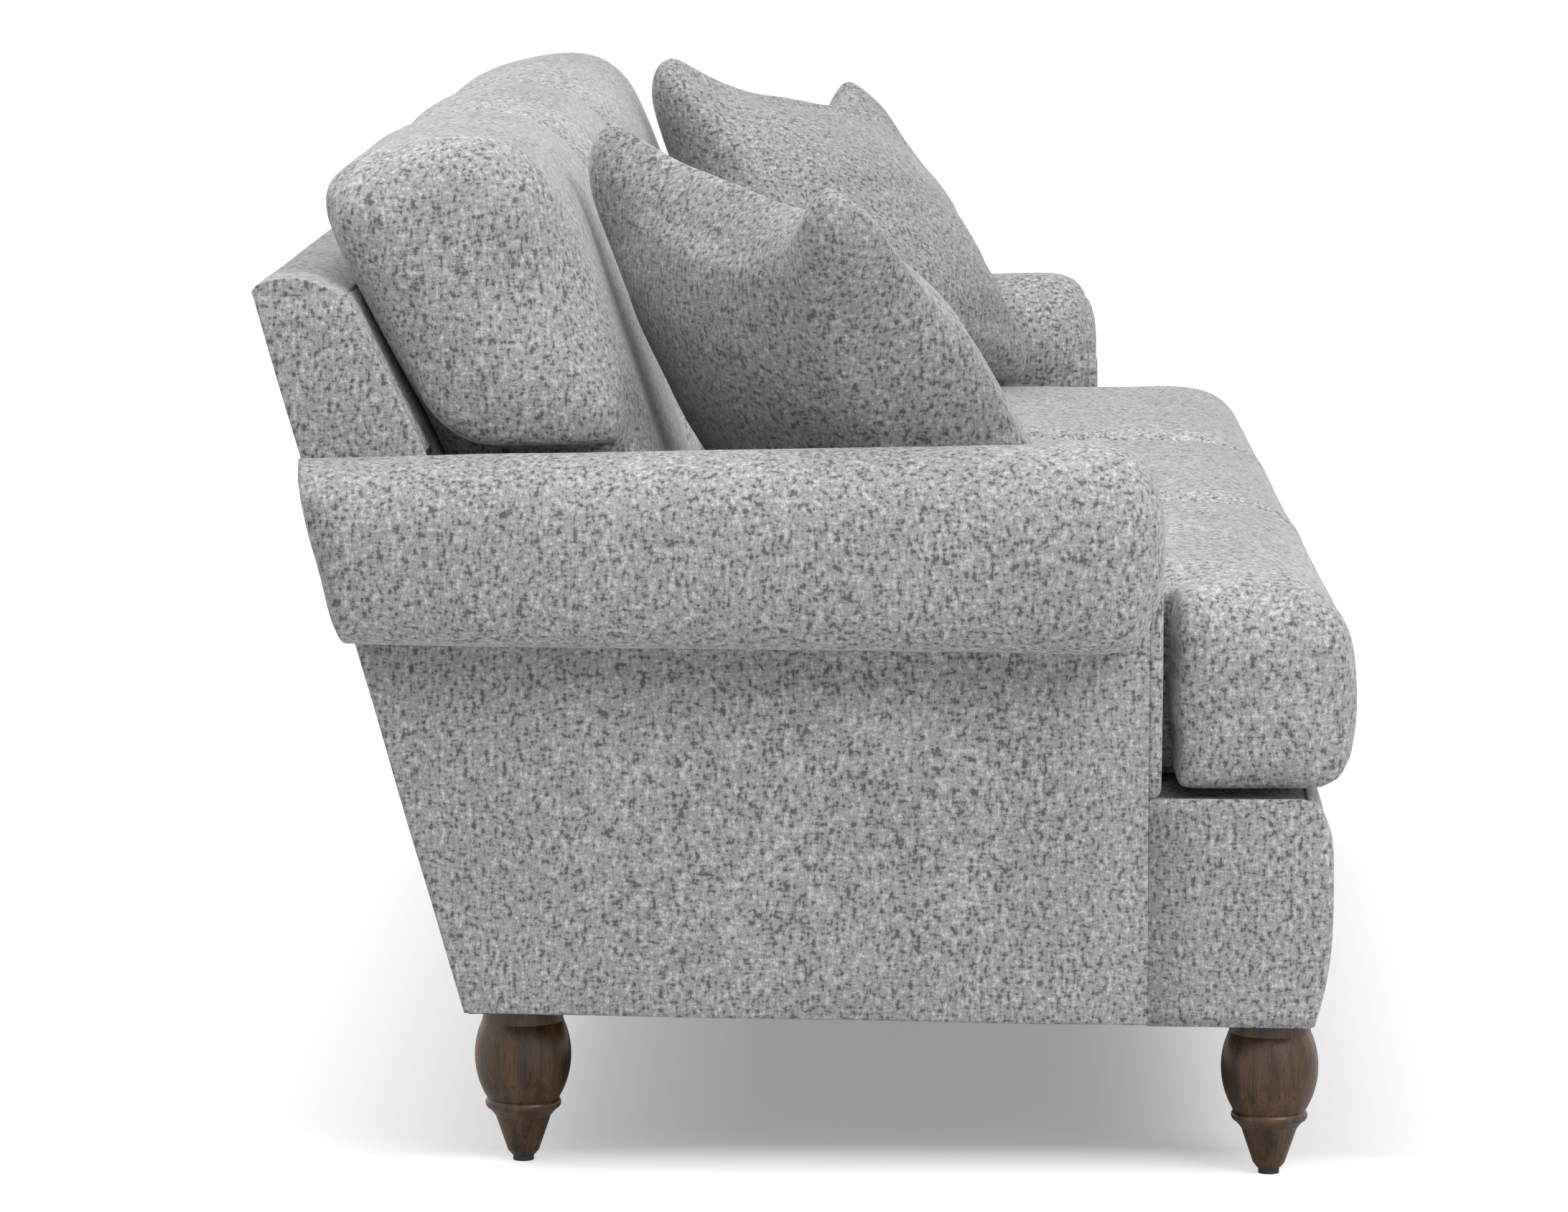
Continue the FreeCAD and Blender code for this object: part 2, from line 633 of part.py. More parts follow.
def arm_facing():
    """The padded front of an arm: a domed disc over the roll's end on top of an upright strip."""
    reach, depth = S.roll_front_radius, S.facing_depth - S.fit
    points = [
        (ZERO, ZERO),
        (reach - S.facing_rounding, ZERO, S.facing_rounding),
        (reach, S.facing_rounding),
        (reach, depth),
        (ZERO, depth),
    ]
    dome = doc.addObject("PartDesign::Body", "facing_dome")
    profile = outline(dome, "facing_outline", "XY_Plane", points)
    turned = dome.newObject("PartDesign::Revolution", "facing_turned")
    turned.Profile = profile
    turned.ReferenceAxis = (profile, ["V_Axis"])
    turned.Angle = 360
    place(dome, ROLL_AXIS, ARM_FRONT, S.roll_height)
    strip_z = (SEAT_BOTTOM, S.roll_height)
    strip = box("facing_strip", (ARM_INNER, ARM_OUTER), (ARM_FRONT, STEM_START), strip_z)
    notch_x = (ARM_FRAME_INNER - S.fit, FRAME_OUTER + S.fit)
    notch = box("facing_notch", notch_x, (STEM_START, ROLL_START), (SEAT_BOTTOM, S.arm_rail_top + S.fit))
    both_sides("arm_facing", cut("arm_facing_right", fused("facing_shape", dome, strip), notch))


# ---------------------------------------------------------------- covers of base and back
def covers():
    back_edge = ARM_FRONT - S.fit
    width = (-ARM_OUTER, ARM_OUTER)
    half_border = (S.deck_height - S.hem_front) / 2
    crown = S.border_crown
    border_curve = (crown * crown + half_border * half_border) / (crown * 2)
    points = [
        (BASE_EDGE, S.deck_height, border_curve),
        (BASE_EDGE, S.hem_front),
        (STEM_START, S.hem_front),
        (STEM_START, S.deck_height),
    ]
    block = prism("border_block", "YZ_Plane", points, width)
    behind = STEM_START + S.fit
    cloth_bottom = S.deck_height - S.deck_cloth
    room_x = (-(FRAME_OUTER + S.fit), FRAME_OUTER + S.fit)
    room = box("border_room", room_x, (RAIL_FACE - S.fit, behind), (ZERO, cloth_bottom))
    cloth_z = (cloth_bottom - S.fit, S.deck_height + S.fit)
    arm_room_x = (ARM_INNER - S.fit, ARM_OUTER + S.fit)
    arm_room = box("border_arm_room", arm_room_x, (back_edge, behind), cloth_z)
    deck_room = box("border_deck_room", (-ARM_INNER, ARM_INNER), (back_edge, behind), cloth_z)
    arm_room_left = mirrored("border_arm_room_left", arm_room)
    leg_room = cylinder("border_leg_room", S.leg_shoulder_radius, *FRONT_LEG, (ZERO, S.leg_height))
    rooms = (room, arm_room, arm_room_left, deck_room, leg_room, mirrored("border_leg_room_left", leg_room))
    node(cut("front_border", block, *rooms), "front_border")

    def cover_front(height):
        return rear_at(height) - S.cover

    sheet_z = (S.hem_rear, CAP_BOTTOM - S.fit)
    node(raked_sheet("outside_back_cover", width, sheet_z, cover_front, rear_at), "outside_back_cover")

    top = S.rear_edge_height + S.top_cap_height - S.cover
    ridge = rear_at(S.rear_edge_height) - S.top_ridge_setback
    points = [
        (inner_at(CAP_BOTTOM), CAP_BOTTOM),
        (rear_at(CAP_BOTTOM), CAP_BOTTOM),
        (rear_at(S.rear_edge_height), S.rear_edge_height, S.top_rear_curve),
        (ridge, top, S.top_front_curve),
    ]
    node(prism("back_top_cover", "YZ_Plane", points, width), "back_top_cover")

    end_z = (BACK_SHOULDER, CAP_BOTTOM - S.fit)

    def end_rear(height):
        return rear_at(height) - S.cover - S.fit

    end_x = (ARM_OUTER - S.cover, ARM_OUTER)
    both_sides("back_end_cover", raked_sheet("back_end_cover_right", end_x, end_z, inner_at, end_rear))

    pad_z = (DECK_PAD_BOTTOM, CAP_BOTTOM - S.fit)

    def pad_rear(height):
        return inner_at(height) + S.back_padding

    slab = raked_sheet("back_pad_slab", (-FRAME_OUTER, FRAME_OUTER), pad_z, inner_at, pad_rear)
    narrow, wide = ARM_INNER - S.fit, FRAME_OUTER
    points = [
        (-narrow, pad_z[0]), (narrow, pad_z[0]), (narrow, BACK_SHOULDER), (wide, BACK_SHOULDER),
        (wide, pad_z[1]), (-wide, pad_z[1]), (-wide, BACK_SHOULDER), (-narrow, BACK_SHOULDER),
    ]
    shape = prism("back_pad_shape", "XZ_Plane", points, (-S.sofa_depth, S.sofa_depth))
    node(common("inside_back_pad", slab, shape), "inside_back_pad")


def under_cover():
    """Black cloth under the frame, with a window round each leg plate."""
    sheet_z = (S.leg_height - S.fit - S.dust_sheet, S.leg_height - S.fit)
    size_y = (RAIL_FACE, timber_rear_at(S.leg_height) - S.fit)
    sheet_of = box("dust_sheet", (-FRAME_OUTER, FRAME_OUTER), size_y, sheet_z)
    half = S.plate_size / 2 + S.window_gap
    tall = (ZERO, S.leg_height * 2)
    windows = []
    for name, (x, y) in (("front", FRONT_LEG), ("rear", REAR_LEG)):
        window = box(f"window_{name}", (x - half, x + half), (y - half, y + half), tall)
        windows += [window, mirrored(f"window_{name}_left", window)]
    x, y = SUPPORT_LEG
    windows.append(cylinder("window_support", S.support_radius + S.window_gap, x, y, tall))
    node(cut("dust_cover", sheet_of, *windows), "dust_cover")


# ---------------------------------------------------------------- seat deck, springs, webbing
def seat_deck():
    pad_z = (DECK_PAD_BOTTOM, S.deck_height - S.deck_cloth - S.fit)
    rear = inner_at(RAIL_TOP) - S.fit
    front = RAIL_FACE
    narrow, wide = ARM_INNER - S.fit, FRAME_OUTER
    step = ARM_FRONT - S.fit
    points = [
        (-wide, front), (wide, front), (wide, step), (narrow, step),
        (narrow, rear), (-narrow, rear), (-narrow, step), (-wide, step),
    ]
    node(prism("seat_deck_pad", "XY_Plane", points, pad_z), "seat_deck_pad")
    cloth_z = (S.deck_height - S.deck_cloth, S.deck_height)
    node(box("seat_deck_cloth", (-narrow, narrow), (ARM_FRONT, rear), cloth_z), "seat_deck_cloth")


def seat_springs():
    body = doc.addObject("PartDesign::Body", "seat_springs")
    body.AllowCompound = True
    half = S.spring_bar / 2
    curve = SPRING_PITCH / 2
    path = [(ZERO, ZERO), (half, ZERO, curve)]
    for bend in range(1, SPRING_BENDS):
        at = SPRING_PITCH * bend
        if bend % 2:
            path += [(half, at), (-half, at, -curve)]
        else:
            path += [(-half, at), (half, at, curve)]
    at = SPRING_PITCH * SPRING_BENDS
    path += [(half, at), (ZERO, at)] if SPRING_BENDS % 2 else [(-half, at), (ZERO, at)]
    spine = outline(body, "spring_path", "XY_Plane", path, closed=False)
    section = body.newObject("Sketcher::SketchObject", "spring_section")
    plane = [item for item in body.Origin.OriginFeatures if item.Role == "YZ_Plane"][0]
    section.AttachmentSupport = [(plane, "")]
    section.MapMode = "FlatFace"
    section.addGeometry(Part.Circle(Vector(0, 0, 0), Vector(0, 0, 1), S.spring_wire.number / 2), False)
    section.addConstraint(Sketcher.Constraint("Coincident", 0, 3, -1, 1))
    index = section.addConstraint(Sketcher.Constraint("Radius", 0, S.spring_wire.number / 2))
    tie(section, f"Constraints[{index}]", S.spring_wire / 2)
    wire = body.newObject("PartDesign::AdditivePipe", "spring_wire_sweep")
    wire.Profile = section
    wire.Spine = (spine, [])
    doc.recompute()
    pattern = body.newObject("PartDesign::LinearPattern", "spring_row")
    pattern.Originals = [wire]
    pattern.Direction = (spine, ["H_Axis"])
    tie(pattern, "Length", SPRING_ROW)
    pattern.Occurrences = SPRING_COUNT
    body.Tip = pattern
    level = RAIL_TOP + S.clip_plate + S.spring_wire / 2 + S.fit
    place(body, -(SPRING_ROW / 2), SPRING_START, level)
    node(body, "seat_springs")
    clips = []
    for end, middle, facing in (("front", SPRING_START, 1), ("rear", SPRING_END, -1)):
        clips.append(clip_row(end, middle, facing))
    group("spring_clips", *clips)


def clip_row(end, middle, facing):
    """Folded clips along a rail, open towards the springs."""
    plate, half = S.clip_plate, S.clip_depth / 2
    rise = S.spring_wire + S.fit * 2
    open_end, closed_end = (half, -half) if facing > 0 else (-half, half)
    wall = closed_end + plate * facing
    points = [
        (closed_end, ZERO), (open_end, ZERO), (open_end, plate), (wall, plate),
        (wall, plate + rise), (open_end, plate + rise), (open_end, plate * 2 + rise),
        (closed_end, plate * 2 + rise),
    ]
    body = doc.addObject("PartDesign::Body", f"clips_{end}")
    body.AllowCompound = True
    profile = outline(body, f"clip_{end}_outline", "YZ_Plane", points)
    pad = body.newObject("PartDesign::Pad", f"clip_{end}_pad")
    pad.Profile = profile
    tie(pad, "Length", S.clip_width)
    row_of(body, f"clip_{end}_row", pad, "N_Axis", SPRING_ROW, SPRING_COUNT)
    place(body, -(SPRING_ROW / 2) - S.clip_width / 2, middle, RAIL_TOP)
    return body


def back_webbing():
    low, high = S.lower_rail_bottom, POST_TOP + S.top_rail_height

    def front(height):
        return inner_at(height) + S.back_padding + S.fit

    def rear(height):
        return front(height) + S.webbing_thickness

    straps = []
    half = S.webbing_width / 2
    for index, steps in enumerate(STRAP_STEPS):
        middle = S.webbing_spacing * steps
        strap = raked_sheet(f"strap_{index}", (middle - half, middle + half), (low, high), front, rear)
        straps += [strap, mirrored(f"strap_{index}_left", strap)]
    group("back_webbing", *straps)


# ---------------------------------------------------------------- legs
def legs():
    top = LEG_TOP - S.fit
    bolt_bottom = top - S.bolt_depth
    bore = S.bolt_radius + S.fit / 2
    points = [
        (ZERO, S.glide_height),
        (S.leg_end_radius, S.glide_height),
        (S.leg_tip_radius, S.leg_tip_height),
        (S.leg_cone_radius, S.leg_cone_height),
        (S.leg_bead_radius, S.leg_bead_height, S.leg_bead_curve),
        (S.leg_neck_radius, S.leg_neck_height, S.leg_bulb_curve),
        (S.leg_shoulder_radius, S.leg_shoulder_height),
        (S.leg_top_radius, top),
        (bore, top),
        (bore, bolt_bottom),
        (ZERO, bolt_bottom),
    ]
    bolts, plates, glides = [], [], []
    half = S.plate_size / 2
    for end, (x, y) in (("front", FRONT_LEG), ("rear", REAR_LEG)):
        body = doc.addObject("PartDesign::Body", f"leg_{end}_right")
        profile = outline(body, f"leg_{end}_outline", "XZ_Plane", points)
        turned = body.newObject("PartDesign::Revolution", f"leg_{end}_turned")
        turned.Profile = profile
        turned.ReferenceAxis = (profile, ["V_Axis"])
        turned.Angle = 360
        place(body, x, y)
        both_sides(f"leg_{end}", body)
        plate = box(f"plate_{end}", (x - half, x + half), (y - half, y + half), (LEG_TOP, S.leg_height))
        hole = cylinder(f"plate_hole_{end}", bore, x, y, (ZERO, S.leg_height * 2))
        bored = cut(f"bored_plate_{end}", plate, hole)
        bolt = cylinder(f"bolt_{end}", S.bolt_radius, x, y, (bolt_bottom, S.leg_height - S.fit))
        glide = cylinder(f"glide_{end}", S.glide_radius, x, y, (ZERO, S.glide_height))
        for kept, piece in ((plates, bored), (bolts, bolt), (glides, glide)):
            kept += [piece, mirrored(f"{piece.Name}_left", piece)]
    x, y = SUPPORT_LEG
    support = doc.addObject("Part::Cone", "centre_support_leg")
    tie(support, "Radius1", S.support_foot_radius)
    tie(support, "Radius2", S.support_radius)
    tie(support, "Height", S.leg_height - S.glide_height)
    place(support, x, y, S.glide_height)
    node(support, "centre_support_leg")
    glides.append(cylinder("glide_support", S.glide_radius, x, y, (ZERO, S.glide_height)))
    group("leg_plates", *plates)
    group("leg_bolts", *bolts)
    group("foot_glides", *glides)


# ---------------------------------------------------------------- cushions
def seat_cushion_solid(name, inset, ear):
    """One seat cushion, or its foam core when it is inset from the cover."""
    front = FRONT + inset
    rear = inner_at(S.deck_height) - S.cushion_gap - inset
    z = (SEAT_BOTTOM + inset, SEAT_TOP - inset)
    if ear:
        near = S.seat_width / 2 + S.cushion_gap / 2 + inset
        far = ARM_INNER - S.cushion_gap - inset
        ear_end = far + S.ear_width + S.cushion_gap
        step = ARM_FRONT - S.ear_gap - inset
        points = [(near, front), (ear_end, front), (ear_end, step), (far, step), (far, rear), (near, rear)]
        inner_corner = (far.number, step.number)
    else:
        half = S.seat_width / 2 - S.cushion_gap / 2 - inset
        points = [(-half, front), (half, front), (half, rear), (-half, rear)]
        inner_corner = None
    body = prism(name, "XY_Plane", points, z)

    def turns_round_arm(edge):
        middle = edge.BoundBox.Center
        near = inner_corner and math.dist((middle.x, middle.y), inner_corner) < S.ear_width.number / 2
        return upright(edge) and near

    def corner(edge):
        return upright(edge) and not turns_round_arm(edge)

    if ear:
        rounded(body, f"{name}_turn", S.ear_inner_rounding, turns_round_arm)
    rounded(body, f"{name}_corners", S.seat_corner - inset, corner)
    thick = (z[1] - z[0]).number
    rounded(body, f"{name}_top", S.seat_top_rounding - inset, lambda edge: flat_at(edge, thick))
    rounded(body, f"{name}_foot", S.seat_foot_rounding - inset, lambda edge: flat_at(edge, 0.0))
    return body


def back_cushion_solid(name, inset, ear):
    """One back cushion, or its filling when it is inset from the cover."""
    low = SEAT_TOP + S.fit + inset

    def rear(height):
        return inner_at(height) - S.back_gap - inset

    def front(height):
        return BACK_FOOT_FRONT + inset + (height - SEAT_TOP) * tan(S.front_rake)

    crown, crown_rear = S.crown_height - inset, S.crown_rear_height - inset
    points = [(front(low), low), (rear(low), low), (rear(crown_rear), crown_rear), (front(crown), crown)]
    near = S.seat_width / 2 + S.cushion_gap / 2 + inset
    far = ARM_INNER - S.cushion_gap - inset
    ear_end = far + S.back_ear_width + S.cushion_gap
    half = S.seat_width / 2 - S.cushion_gap / 2 - inset
    span = (near, ear_end) if ear else (-half, half)
    body = prism(name, "YZ_Plane", points, span)
    crown_at = (front(crown).number, crown.number)
    crown_rear_at = (rear(crown_rear).number, crown_rear.number)
    width = (span[1] - span[0]).number

    def crown_edge(edge):
        return edge_along_x(edge, *crown_at)

    def crown_rear_edge(edge):
        return edge_along_x(edge, *crown_rear_at)

    def side(edge):
        """Edges of the two ends, except along the flat foot."""
        at_end = side_edge(edge, 0.0) or side_edge(edge, width)
        return at_end and edge.BoundBox.ZMax > low.number + EDGE_SLACK

    rounded(body, f"{name}_crown", S.crown_rounding - inset, crown_edge)
    rounded(body, f"{name}_crown_rear", S.crown_rear_rounding - inset, crown_rear_edge)

    rounded(body, f"{name}_sides", S.back_side_rounding - inset, side)
    if not ear:
        return body
    arm_top = BACK_SHOULDER + S.back_ear_lift + inset
    room_x = (far, ear_end * 2)
    room_y = (-S.sofa_depth, S.sofa_depth)
    return cut(f"{name}_over_arm", body, box(f"{name}_arm_room", room_x, room_y, (ZERO, arm_top)))


def cushions(kind, solid_of, cover_name, core_name):
    """A sewn cover and its core for the middle and for each end."""
    for place_name, ear in (("centre", False), ("right", True)):
        skin = solid_of(f"{kind}_{place_name}_skin", ZERO, ear)
        core = solid_of(f"{kind}_{place_name}_core", S.cushion_cloth, ear)
        cover = cut(f"{kind}_{place_name}_cover", skin, core)
        for base_name, piece in ((cover_name, cover), (core_name, core)):
            if ear:
                both_sides(base_name, piece)
            else:
                node(piece, f"{base_name}_centre")


def throw_pillow():
    """A knife-edge pillow: two lens-shaped prisms crossed, leaning in the corner of arm and back."""
    half, edge = S.pillow_size / 2, S.pillow_edge / 2
    rise = S.pillow_thickness / 2 - edge
    curve = (half * half + rise * rise) / (rise * 2)
    points = [(-half, -edge, curve), (half, -edge), (half, edge, curve), (-half, edge)]
    across = prism("pillow_across_lens", "XY_Plane", points, (-half, half))
    upright_points = [(-edge, -half), (edge, -half, curve), (edge, half), (-edge, half, curve)]
    along = prism("pillow_upright_lens", "YZ_Plane", upright_points, (-half, half))
    pillow = common("pillow_right", across, along)
    turn = FreeCAD.Rotation(Vector(0, 0, 1), -S.pillow_turn.number)
    lean = FreeCAD.Rotation(Vector(1, 0, 0), -S.pillow_lean.number)
    roll = FreeCAD.Rotation(Vector(0, 1, 0), S.pillow_roll.number)
    pillow.Placement = FreeCAD.Placement(Vector(), turn * lean * roll)
    drop = half * cos(S.pillow_lean) * (sin(S.pillow_roll) + cos(S.pillow_roll)) + edge * sin(S.pillow_lean)
    height = SEAT_TOP + S.fit + drop
    place(pillow, ARM_INNER - S.pillow_inset, BACK_FOOT_FRONT - S.pillow_forward, height)
    both_sides("pillow", pillow)


def build():
    seat_frame()
    back_frame()
    arm()
    arm_facing()
    covers()
    under_cover()
    seat_deck()
    seat_springs()
    back_webbing()
    legs()
    cushions("seat", seat_cushion_solid, "seat_cushion", "seat_foam")
    cushions("back", back_cushion_solid, "back_cushion", "back_filling")
    throw_pillow()
    doc.recompute()


def check_and_write():
    for item in doc.Objects:
        if {"Invalid", "Error"} & set(item.State):
            raise RuntimeError(f"{item.Label}: {item.State}")
    for name, piece in nodes.items():
        if piece.Shape.isNull() or not piece.Shape.isValid() or not piece.Shape.Solids:
            raise RuntimeError(f"{name} has no valid shape")
    os.makedirs("parts", exist_ok=True)
    for name, piece in nodes.items():
        piece.Shape.exportStep(f"parts/{name}.step")
    print(len(nodes), "pieces written")


build()
check_and_write()
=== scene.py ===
"""English roll arm sofa: covers, cushions, turned legs and studio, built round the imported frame.

Metres, +Z up, the front faces -Y. Right-hand pieces lie at +X and are flipped for the left.
"""
import math

import bmesh
import bpy
from bpy.props import FloatProperty, FloatVectorProperty, IntProperty, PointerProperty
from mathutils import Matrix, Vector, noise


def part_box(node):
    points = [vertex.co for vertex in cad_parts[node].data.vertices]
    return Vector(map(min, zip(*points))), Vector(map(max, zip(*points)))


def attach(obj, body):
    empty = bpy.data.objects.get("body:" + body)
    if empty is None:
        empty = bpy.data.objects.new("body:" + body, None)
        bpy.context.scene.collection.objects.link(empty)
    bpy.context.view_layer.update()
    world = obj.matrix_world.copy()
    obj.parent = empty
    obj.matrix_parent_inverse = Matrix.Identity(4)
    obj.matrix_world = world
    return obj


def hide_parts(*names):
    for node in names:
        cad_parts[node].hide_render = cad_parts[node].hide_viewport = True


bl_info = {
    "name": "Roll Arm Sofa",
    "version": (1, 0, 0),
    "blender": (4, 5, 0),
    "location": "View3D > Sidebar > Sofa",
    "description": "Covers, cushions, legs and studio of an English roll arm sofa",
    "category": "Object",
}

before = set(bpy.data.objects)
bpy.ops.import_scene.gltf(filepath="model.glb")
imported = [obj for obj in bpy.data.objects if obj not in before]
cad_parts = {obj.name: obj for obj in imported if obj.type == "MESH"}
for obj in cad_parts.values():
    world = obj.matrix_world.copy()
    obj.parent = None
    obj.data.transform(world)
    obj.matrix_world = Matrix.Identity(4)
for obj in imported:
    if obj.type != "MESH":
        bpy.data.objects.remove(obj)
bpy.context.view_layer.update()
FRAME_BODY = "sofa_frame"
SIDES = ("right", "left")

# Places that the covers share with the frame inside them.
ARM_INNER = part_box("inside_arm_pad_right")[0].x
ARM_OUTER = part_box("outside_arm_cover_right")[1].x
ARM_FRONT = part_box("arm_facing_right")[0].y
FRAME_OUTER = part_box("back_post_right")[1].x
DECK_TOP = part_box("seat_deck_cloth")[1].z
DECK_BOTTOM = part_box("seat_deck_pad")[0].z
HEM_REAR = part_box("outside_back_cover")[0].z
HEM_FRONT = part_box("front_border")[0].z
CAP_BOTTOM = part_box("back_top_cover")[0].z
REAR_EDGE_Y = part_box("back_top_cover")[1].y
SEAT_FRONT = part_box("seat_cushion_right")[0].y
SEAT_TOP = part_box("seat_cushion_right")[1].z
REAR_EDGE_HEIGHT = 0.802
BACK_THICKNESS = 0.0825
OUTER_SLOPE = math.tan(math.radians(15.87))
INNER_SLOPE = math.tan(math.radians(26.25))
BASE_EDGE = -0.453
STEM_SEAM = -0.303
ROLL_AXIS_X = 1.0125
ROLL_AXIS_Z = 0.579
COVER = 0.004
CLEARANCE = 0.0003


def rear_at(height):
    """Outside face of the back at a height."""
    return REAR_EDGE_Y - (REAR_EDGE_HEIGHT - height) * OUTER_SLOPE


def inner_at(height):
    """Inside face of the back at a height."""
    return REAR_EDGE_Y - BACK_THICKNESS - (REAR_EDGE_HEIGHT - height) * INNER_SLOPE


# ---------------------------------------------------------------- sizes and colours to change
class SofaCovers(bpy.types.PropertyGroup):
    """Sizes of the covers stretched over the frame."""

    edge_rounding: FloatProperty(
        name="Edge rounding", description="Rounding where covers turn a corner",
        default=0.0036, min=0.001, unit="LENGTH")
    border_rounding: FloatProperty(
        name="Border rounding", description="Rounding of the base's front corners",
        default=0.011, min=0.002, unit="LENGTH")
    border_crown: FloatProperty(
        name="Border crown", description="How far the padded front of the base bulges",
        default=0.015, unit="LENGTH")
    roll_end: FloatProperty(
        name="Roll end", description="How far the rear ends of the arm rolls bulge",
        default=0.007, unit="LENGTH")
    border_fall: FloatProperty(
        name="Border fall", description="How much lower the ledge of the base is at its ends",
        default=0.0065, unit="LENGTH")
    border_sink: FloatProperty(
        name="Border sink", description="Hollow behind the raised side edge of that ledge",
        default=0.006, unit="LENGTH")
    seam_width: FloatProperty(
        name="Seam width", description="Valley of a sewn seam", default=0.004, unit="LENGTH")
    seam_depth: FloatProperty(
        name="Seam depth", description="Valley of a sewn seam", default=0.0014, unit="LENGTH")
    unevenness: FloatProperty(
        name="Unevenness", description="Hand-laid padding under the covers",
        default=0.0009, unit="LENGTH")


class SofaCushions(bpy.types.PropertyGroup):
    """Sizes and filling of the loose cushions."""

    voxel: FloatProperty(
        name="Weave step", description="Size of a face of a cushion before it is subdivided",
        default=0.009, min=0.004, unit="LENGTH")
    slack: FloatProperty(
        name="Slack", description="How much smaller a cover is cut than the filled cushion",
        default=0.004, unit="LENGTH")
    seat_swell: FloatProperty(
        name="Seat swell", description="Furthest that filling pushes a seat cushion's cover",
        default=0.014, unit="LENGTH")
    back_swell: FloatProperty(
        name="Back swell", description="Furthest that filling pushes a back cushion's cover",
        default=0.016, unit="LENGTH")
    pillow_swell: FloatProperty(
        name="Pillow swell", description="Furthest that filling pushes a pillow's cover",
        default=0.014, unit="LENGTH")
    give: FloatProperty(
        name="Give", description="Furthest that a cover moves inwards or along itself",
        default=0.003, min=0.0001, unit="LENGTH")
    pillow_size: FloatProperty(
        name="Pillow size", description="Throw pillow, edge to edge", default=0.46, unit="LENGTH")
    pillow_thickness: FloatProperty(
        name="Pillow thickness", description="Throw pillow at its middle",
        default=0.207, unit="LENGTH")
    pillow_sink: FloatProperty(
        name="Pillow sink", description="How far the pillows lean back into their corners",
        default=0.002, unit="LENGTH")
    # Painted shade: the pillows wear the cushions' tweed darkened by this factor, shade painted on
    # them in their corners.
    pillow_painted_shade: FloatProperty(
        name="Pillow depth", description="Colour of the pillows against that of the cushions",
        default=0.83, min=0, subtype="FACTOR")
    pressure: FloatProperty(
        name="Pressure", description="Push of the filling against the cover", default=4.0, min=0)
    swell_frames: IntProperty(
        name="Swell steps", description="Steps of the cloth simulation", default=7, min=3)


class SofaTweed(bpy.types.PropertyGroup):
    """Heathered tweed of the covers."""

    light: FloatVectorProperty(
        name="Light yarn", description="Colour of the lightest flecks", subtype="COLOR", size=3,
        default=(0.6, 0.608, 0.605), min=0, max=1)
    middle: FloatVectorProperty(
        name="Middle yarn", description="Colour of most of the yarn", subtype="COLOR", size=3,
        default=(0.388, 0.394, 0.398), min=0, max=1)
    dark: FloatVectorProperty(
        name="Dark yarn", description="Colour of the darkest flecks", subtype="COLOR", size=3,
        default=(0.145, 0.147, 0.152), min=0, max=1)
    fleck: FloatProperty(
        name="Fleck size", description="Width of a fleck", default=0.0031, unit="LENGTH")
    nub: FloatProperty(
        name="Nub height", description="Relief of the weave", default=0.0011, unit="LENGTH")


class SofaWood(bpy.types.PropertyGroup):
    """Stained wood of the legs."""

    stain: FloatVectorProperty(
        name="Stain", description="Colour of the wood", subtype="COLOR", size=3,
        default=(0.124, 0.06, 0.024), min=0, max=1)
    grain: FloatVectorProperty(
        name="Grain", description="Colour of the darker grain", subtype="COLOR", size=3,
        default=(0.034, 0.016, 0.008), min=0, max=1)


class SofaStudio(bpy.types.PropertyGroup):
    """Floor, light and camera."""

    floor: FloatProperty(
        name="Floor", description="Lightness of the floor", default=0.65, min=0, max=1,
        subtype="FACTOR")
    # Painted light: the floor gains this lightness as the camera sees it, least under the sofa,
    # which paints a pool of shade there.
    painted_floor_glow: FloatProperty(
        name="Floor glow", description="Lightness added to the floor under the sofa, as seen",
        default=0.3, min=0)
    ambient: FloatProperty(
        name="Room light", description="Light from straight above, less towards the horizon",
        default=1.25, min=0)
    overhead: FloatProperty(
        name="Overhead lamp", description="Soft lamp above the back of the sofa", default=44.0,
        unit="POWER")
    side: FloatProperty(
        name="Side lamp", description="Soft lamp beside the front of the sofa", default=86.0,
        unit="POWER")
    lens: FloatProperty(
        name="Lens", description="Focal length of the camera in millimetres", default=146.54)


# ---------------------------------------------------------------- modelling
def grown_block(points, way):
    """A closed block: a flat outline of points, carried along a way."""
    bm = bmesh.new()
    face = bm.faces.new([bm.verts.new(point) for point in points])
    grown = bmesh.ops.extrude_face_region(bm, geom=[face])["geom"]
    moved = [item for item in grown if isinstance(item, bmesh.types.BMVert)]
    bmesh.ops.translate(bm, verts=moved, vec=way)
    bmesh.ops.recalc_face_normals(bm, faces=bm.faces)
    return bm


def side_block(outline, x_low, x_high):
    """A block across the sofa from an outline of (y, z) points."""
    return grown_block([(x_low, y, z) for y, z in outline], (x_high - x_low, 0, 0))


def raked_plate(outline, thickness, place_at):
    """A plate from an outline of (x, z) points, leaning so that its front follows place_at."""
    bm = grown_block([(x, 0, z) for x, z in outline], (0, thickness, 0))
    for vert in bm.verts:
        vert.co.y += place_at(vert.co.z)
    return bm


def add_block(bm, low, high):
    """A closed block between two corners, added to a mesh."""
    middle = (Vector(low) + Vector(high)) / 2
    size = Vector(high) - Vector(low)
    placed = Matrix.Translation(middle) @ Matrix.Diagonal(size).to_4x4()
    bmesh.ops.create_cube(bm, size=1, matrix=placed)


def round_edges(bm, radius, wanted, segments=4):
    """Round the edges that a test picks."""
    edges = [edge for edge in bm.edges if wanted(edge)]
    bmesh.ops.bevel(bm, geom=edges, offset=radius, segments=segments, profile=0.5,
                    affect="EDGES", material=-1, clamp_overlap=True)


